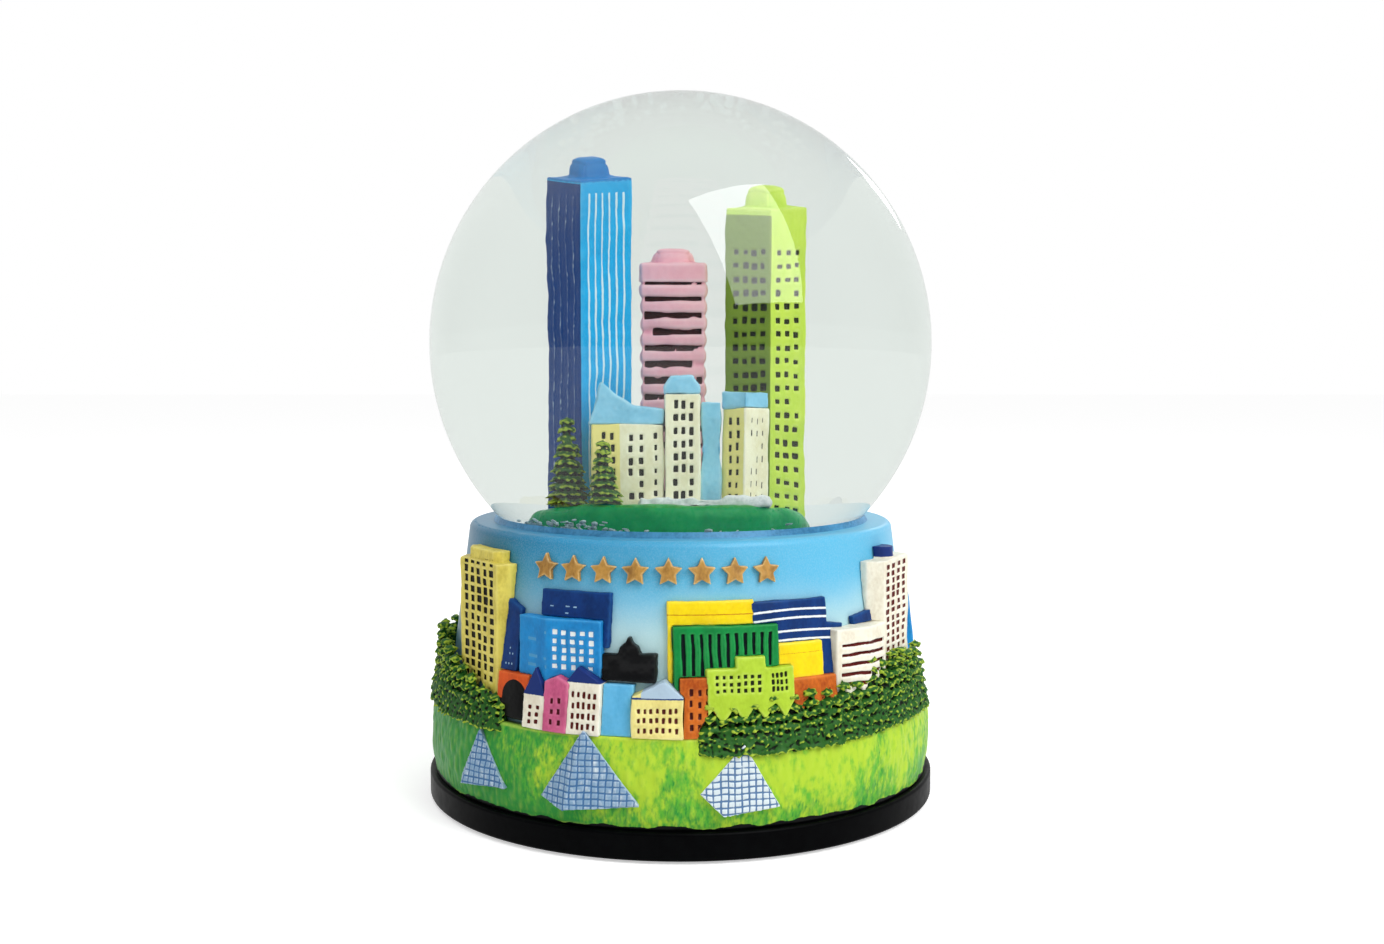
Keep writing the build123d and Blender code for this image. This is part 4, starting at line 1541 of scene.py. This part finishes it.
@dataclass
class Studio:
    """Camera, floor, world and lamps."""

    distance: float = 0.1904
    eye: float = 0.0551
    pitch: float = 4.06
    lens: float = 37.59
    shift: float = 0.0083
    world_light: float = 0.6
    room_light: float = 0.25
    side_dimming: float = 0.45
    floor_grey: float = 0.8
    floor_glow: float = 0.5
    floor_mirrored: float = 0.98
    aim_height: float = 0.045

    def build(self) -> None:
        """Sets up the whole studio."""
        self.camera()
        self.floor()
        self.world()
        for lamp in Lamp:
            self.softbox(lamp)
        bpy.context.scene.view_settings.view_transform = "Standard"

    def camera(self) -> None:
        """Camera in front, a little above the middle, tilted down."""
        data = bpy.data.cameras.new("camera")
        data.lens = self.lens
        data.sensor_width = 36.0
        data.shift_x = self.shift
        data.clip_start = 0.01
        data.clip_end = 10.0
        camera = bpy.data.objects.new("camera", data)
        camera.location = (0.0, -self.distance, self.eye)
        camera.rotation_euler = (math.radians(90 - self.pitch), 0.0, 0.0)
        bpy.context.scene.collection.objects.link(camera)
        bpy.context.scene.camera = camera

    def floor(self) -> None:
        """Wide pale floor that keeps the object's shadow."""
        side = 3.0
        data = bpy.data.meshes.new("floor")
        corners = [(-side, -side, 0.0), (side, -side, 0.0), (side, side, 0.0), (-side, side, 0.0)]
        data.from_pydata(corners, [], [(0, 1, 2, 3)])
        material = bpy.data.materials.new("studio_floor")
        nodes = Nodes(material)
        matte = nodes.add("ShaderNodeBsdfDiffuse", inputs={"Color": (self.floor_grey,) * 3})
        glow = nodes.white("ShaderNodeEmission", self.floor_glow)
        both = nodes.add("ShaderNodeAddShader", inputs={0: matte, 1: glow})
        white = nodes.white("ShaderNodeEmission", self.floor_mirrored)
        direct = nodes.mix(nodes.ray(CAMERA), matte, both)
        nodes.finish(nodes.mix(nodes.ray(GLOSSY, TRANSMISSION), direct, white))
        data.materials.append(material)
        floor = bpy.data.objects.new("floor", data)
        bpy.context.scene.collection.objects.link(floor)

    def world(self) -> None:
        """White backdrop behind the object and a dimmer room in front; gentler as a lamp than it looks."""
        world = bpy.data.worlds.new("studio_world")
        bpy.context.scene.world = world
        nodes = Nodes(world)
        way = nodes.add("ShaderNodeTexCoord", output=0)
        across = nodes.axis(way, 0)
        aside = (across * across).step(0.2, 0.85)
        backdrop = nodes.axis(way, 1).step(-0.7, 0.05) * (1 - aside * self.side_dimming)
        strengths = (self.room_light, self.world_light, 1.0)
        room, dim, full = (nodes.white("ShaderNodeBackground", strength) for strength in strengths)
        unseen = nodes.mix(nodes.ray(GLOSSY), dim, nodes.mix(backdrop, room, full))
        both = nodes.mix(nodes.ray(CAMERA, TRANSMISSION), unseen, full)
        nodes.finish(both, "ShaderNodeOutputWorld")

    def softbox(self, lamp: Lamp) -> None:
        """One area lamp aimed at the ball."""
        bearing, elevation, distance, width, height, power, glints = lamp.value
        data = bpy.data.lights.new(lamp.name.lower(), "AREA")
        data.shape = "RECTANGLE"
        data.size = width
        data.size_y = height
        data.energy = power
        thing = bpy.data.objects.new(lamp.name.lower(), data)
        aim = np.array([0.0, 0.0, self.aim_height])
        rise = math.radians(elevation)
        way = outward(bearing) * math.cos(rise) + np.array([0, 0, math.sin(rise)])
        thing.location = aim + way * distance
        thing.visible_glossy = glints
        thing.visible_diffuse = not glints
        thing.visible_transmission = False
        thing.rotation_mode = "QUATERNION"
        thing.rotation_quaternion = Vector(way).to_track_quat("Z", "Y")
        bpy.context.scene.collection.objects.link(thing)


def main() -> None:
    """Builds the whole object and its studio."""
    logging.basicConfig(level=logging.INFO)
    Studio().build()
    dress_node("base_drum", SkyPaint())
    dress_node("foot_plate", FOOT_BLACK)
    dress_node("felt_pad", FELT)
    Town().build()
    TreeBelts().build()
    Lawn().build()
    Pyramids().build()
    Stars().build()
    Figurine().build()
    Flakes().build()
    globe = Globe()
    globe.build()
    globe.dress()


if __name__ == "__main__":
    main()
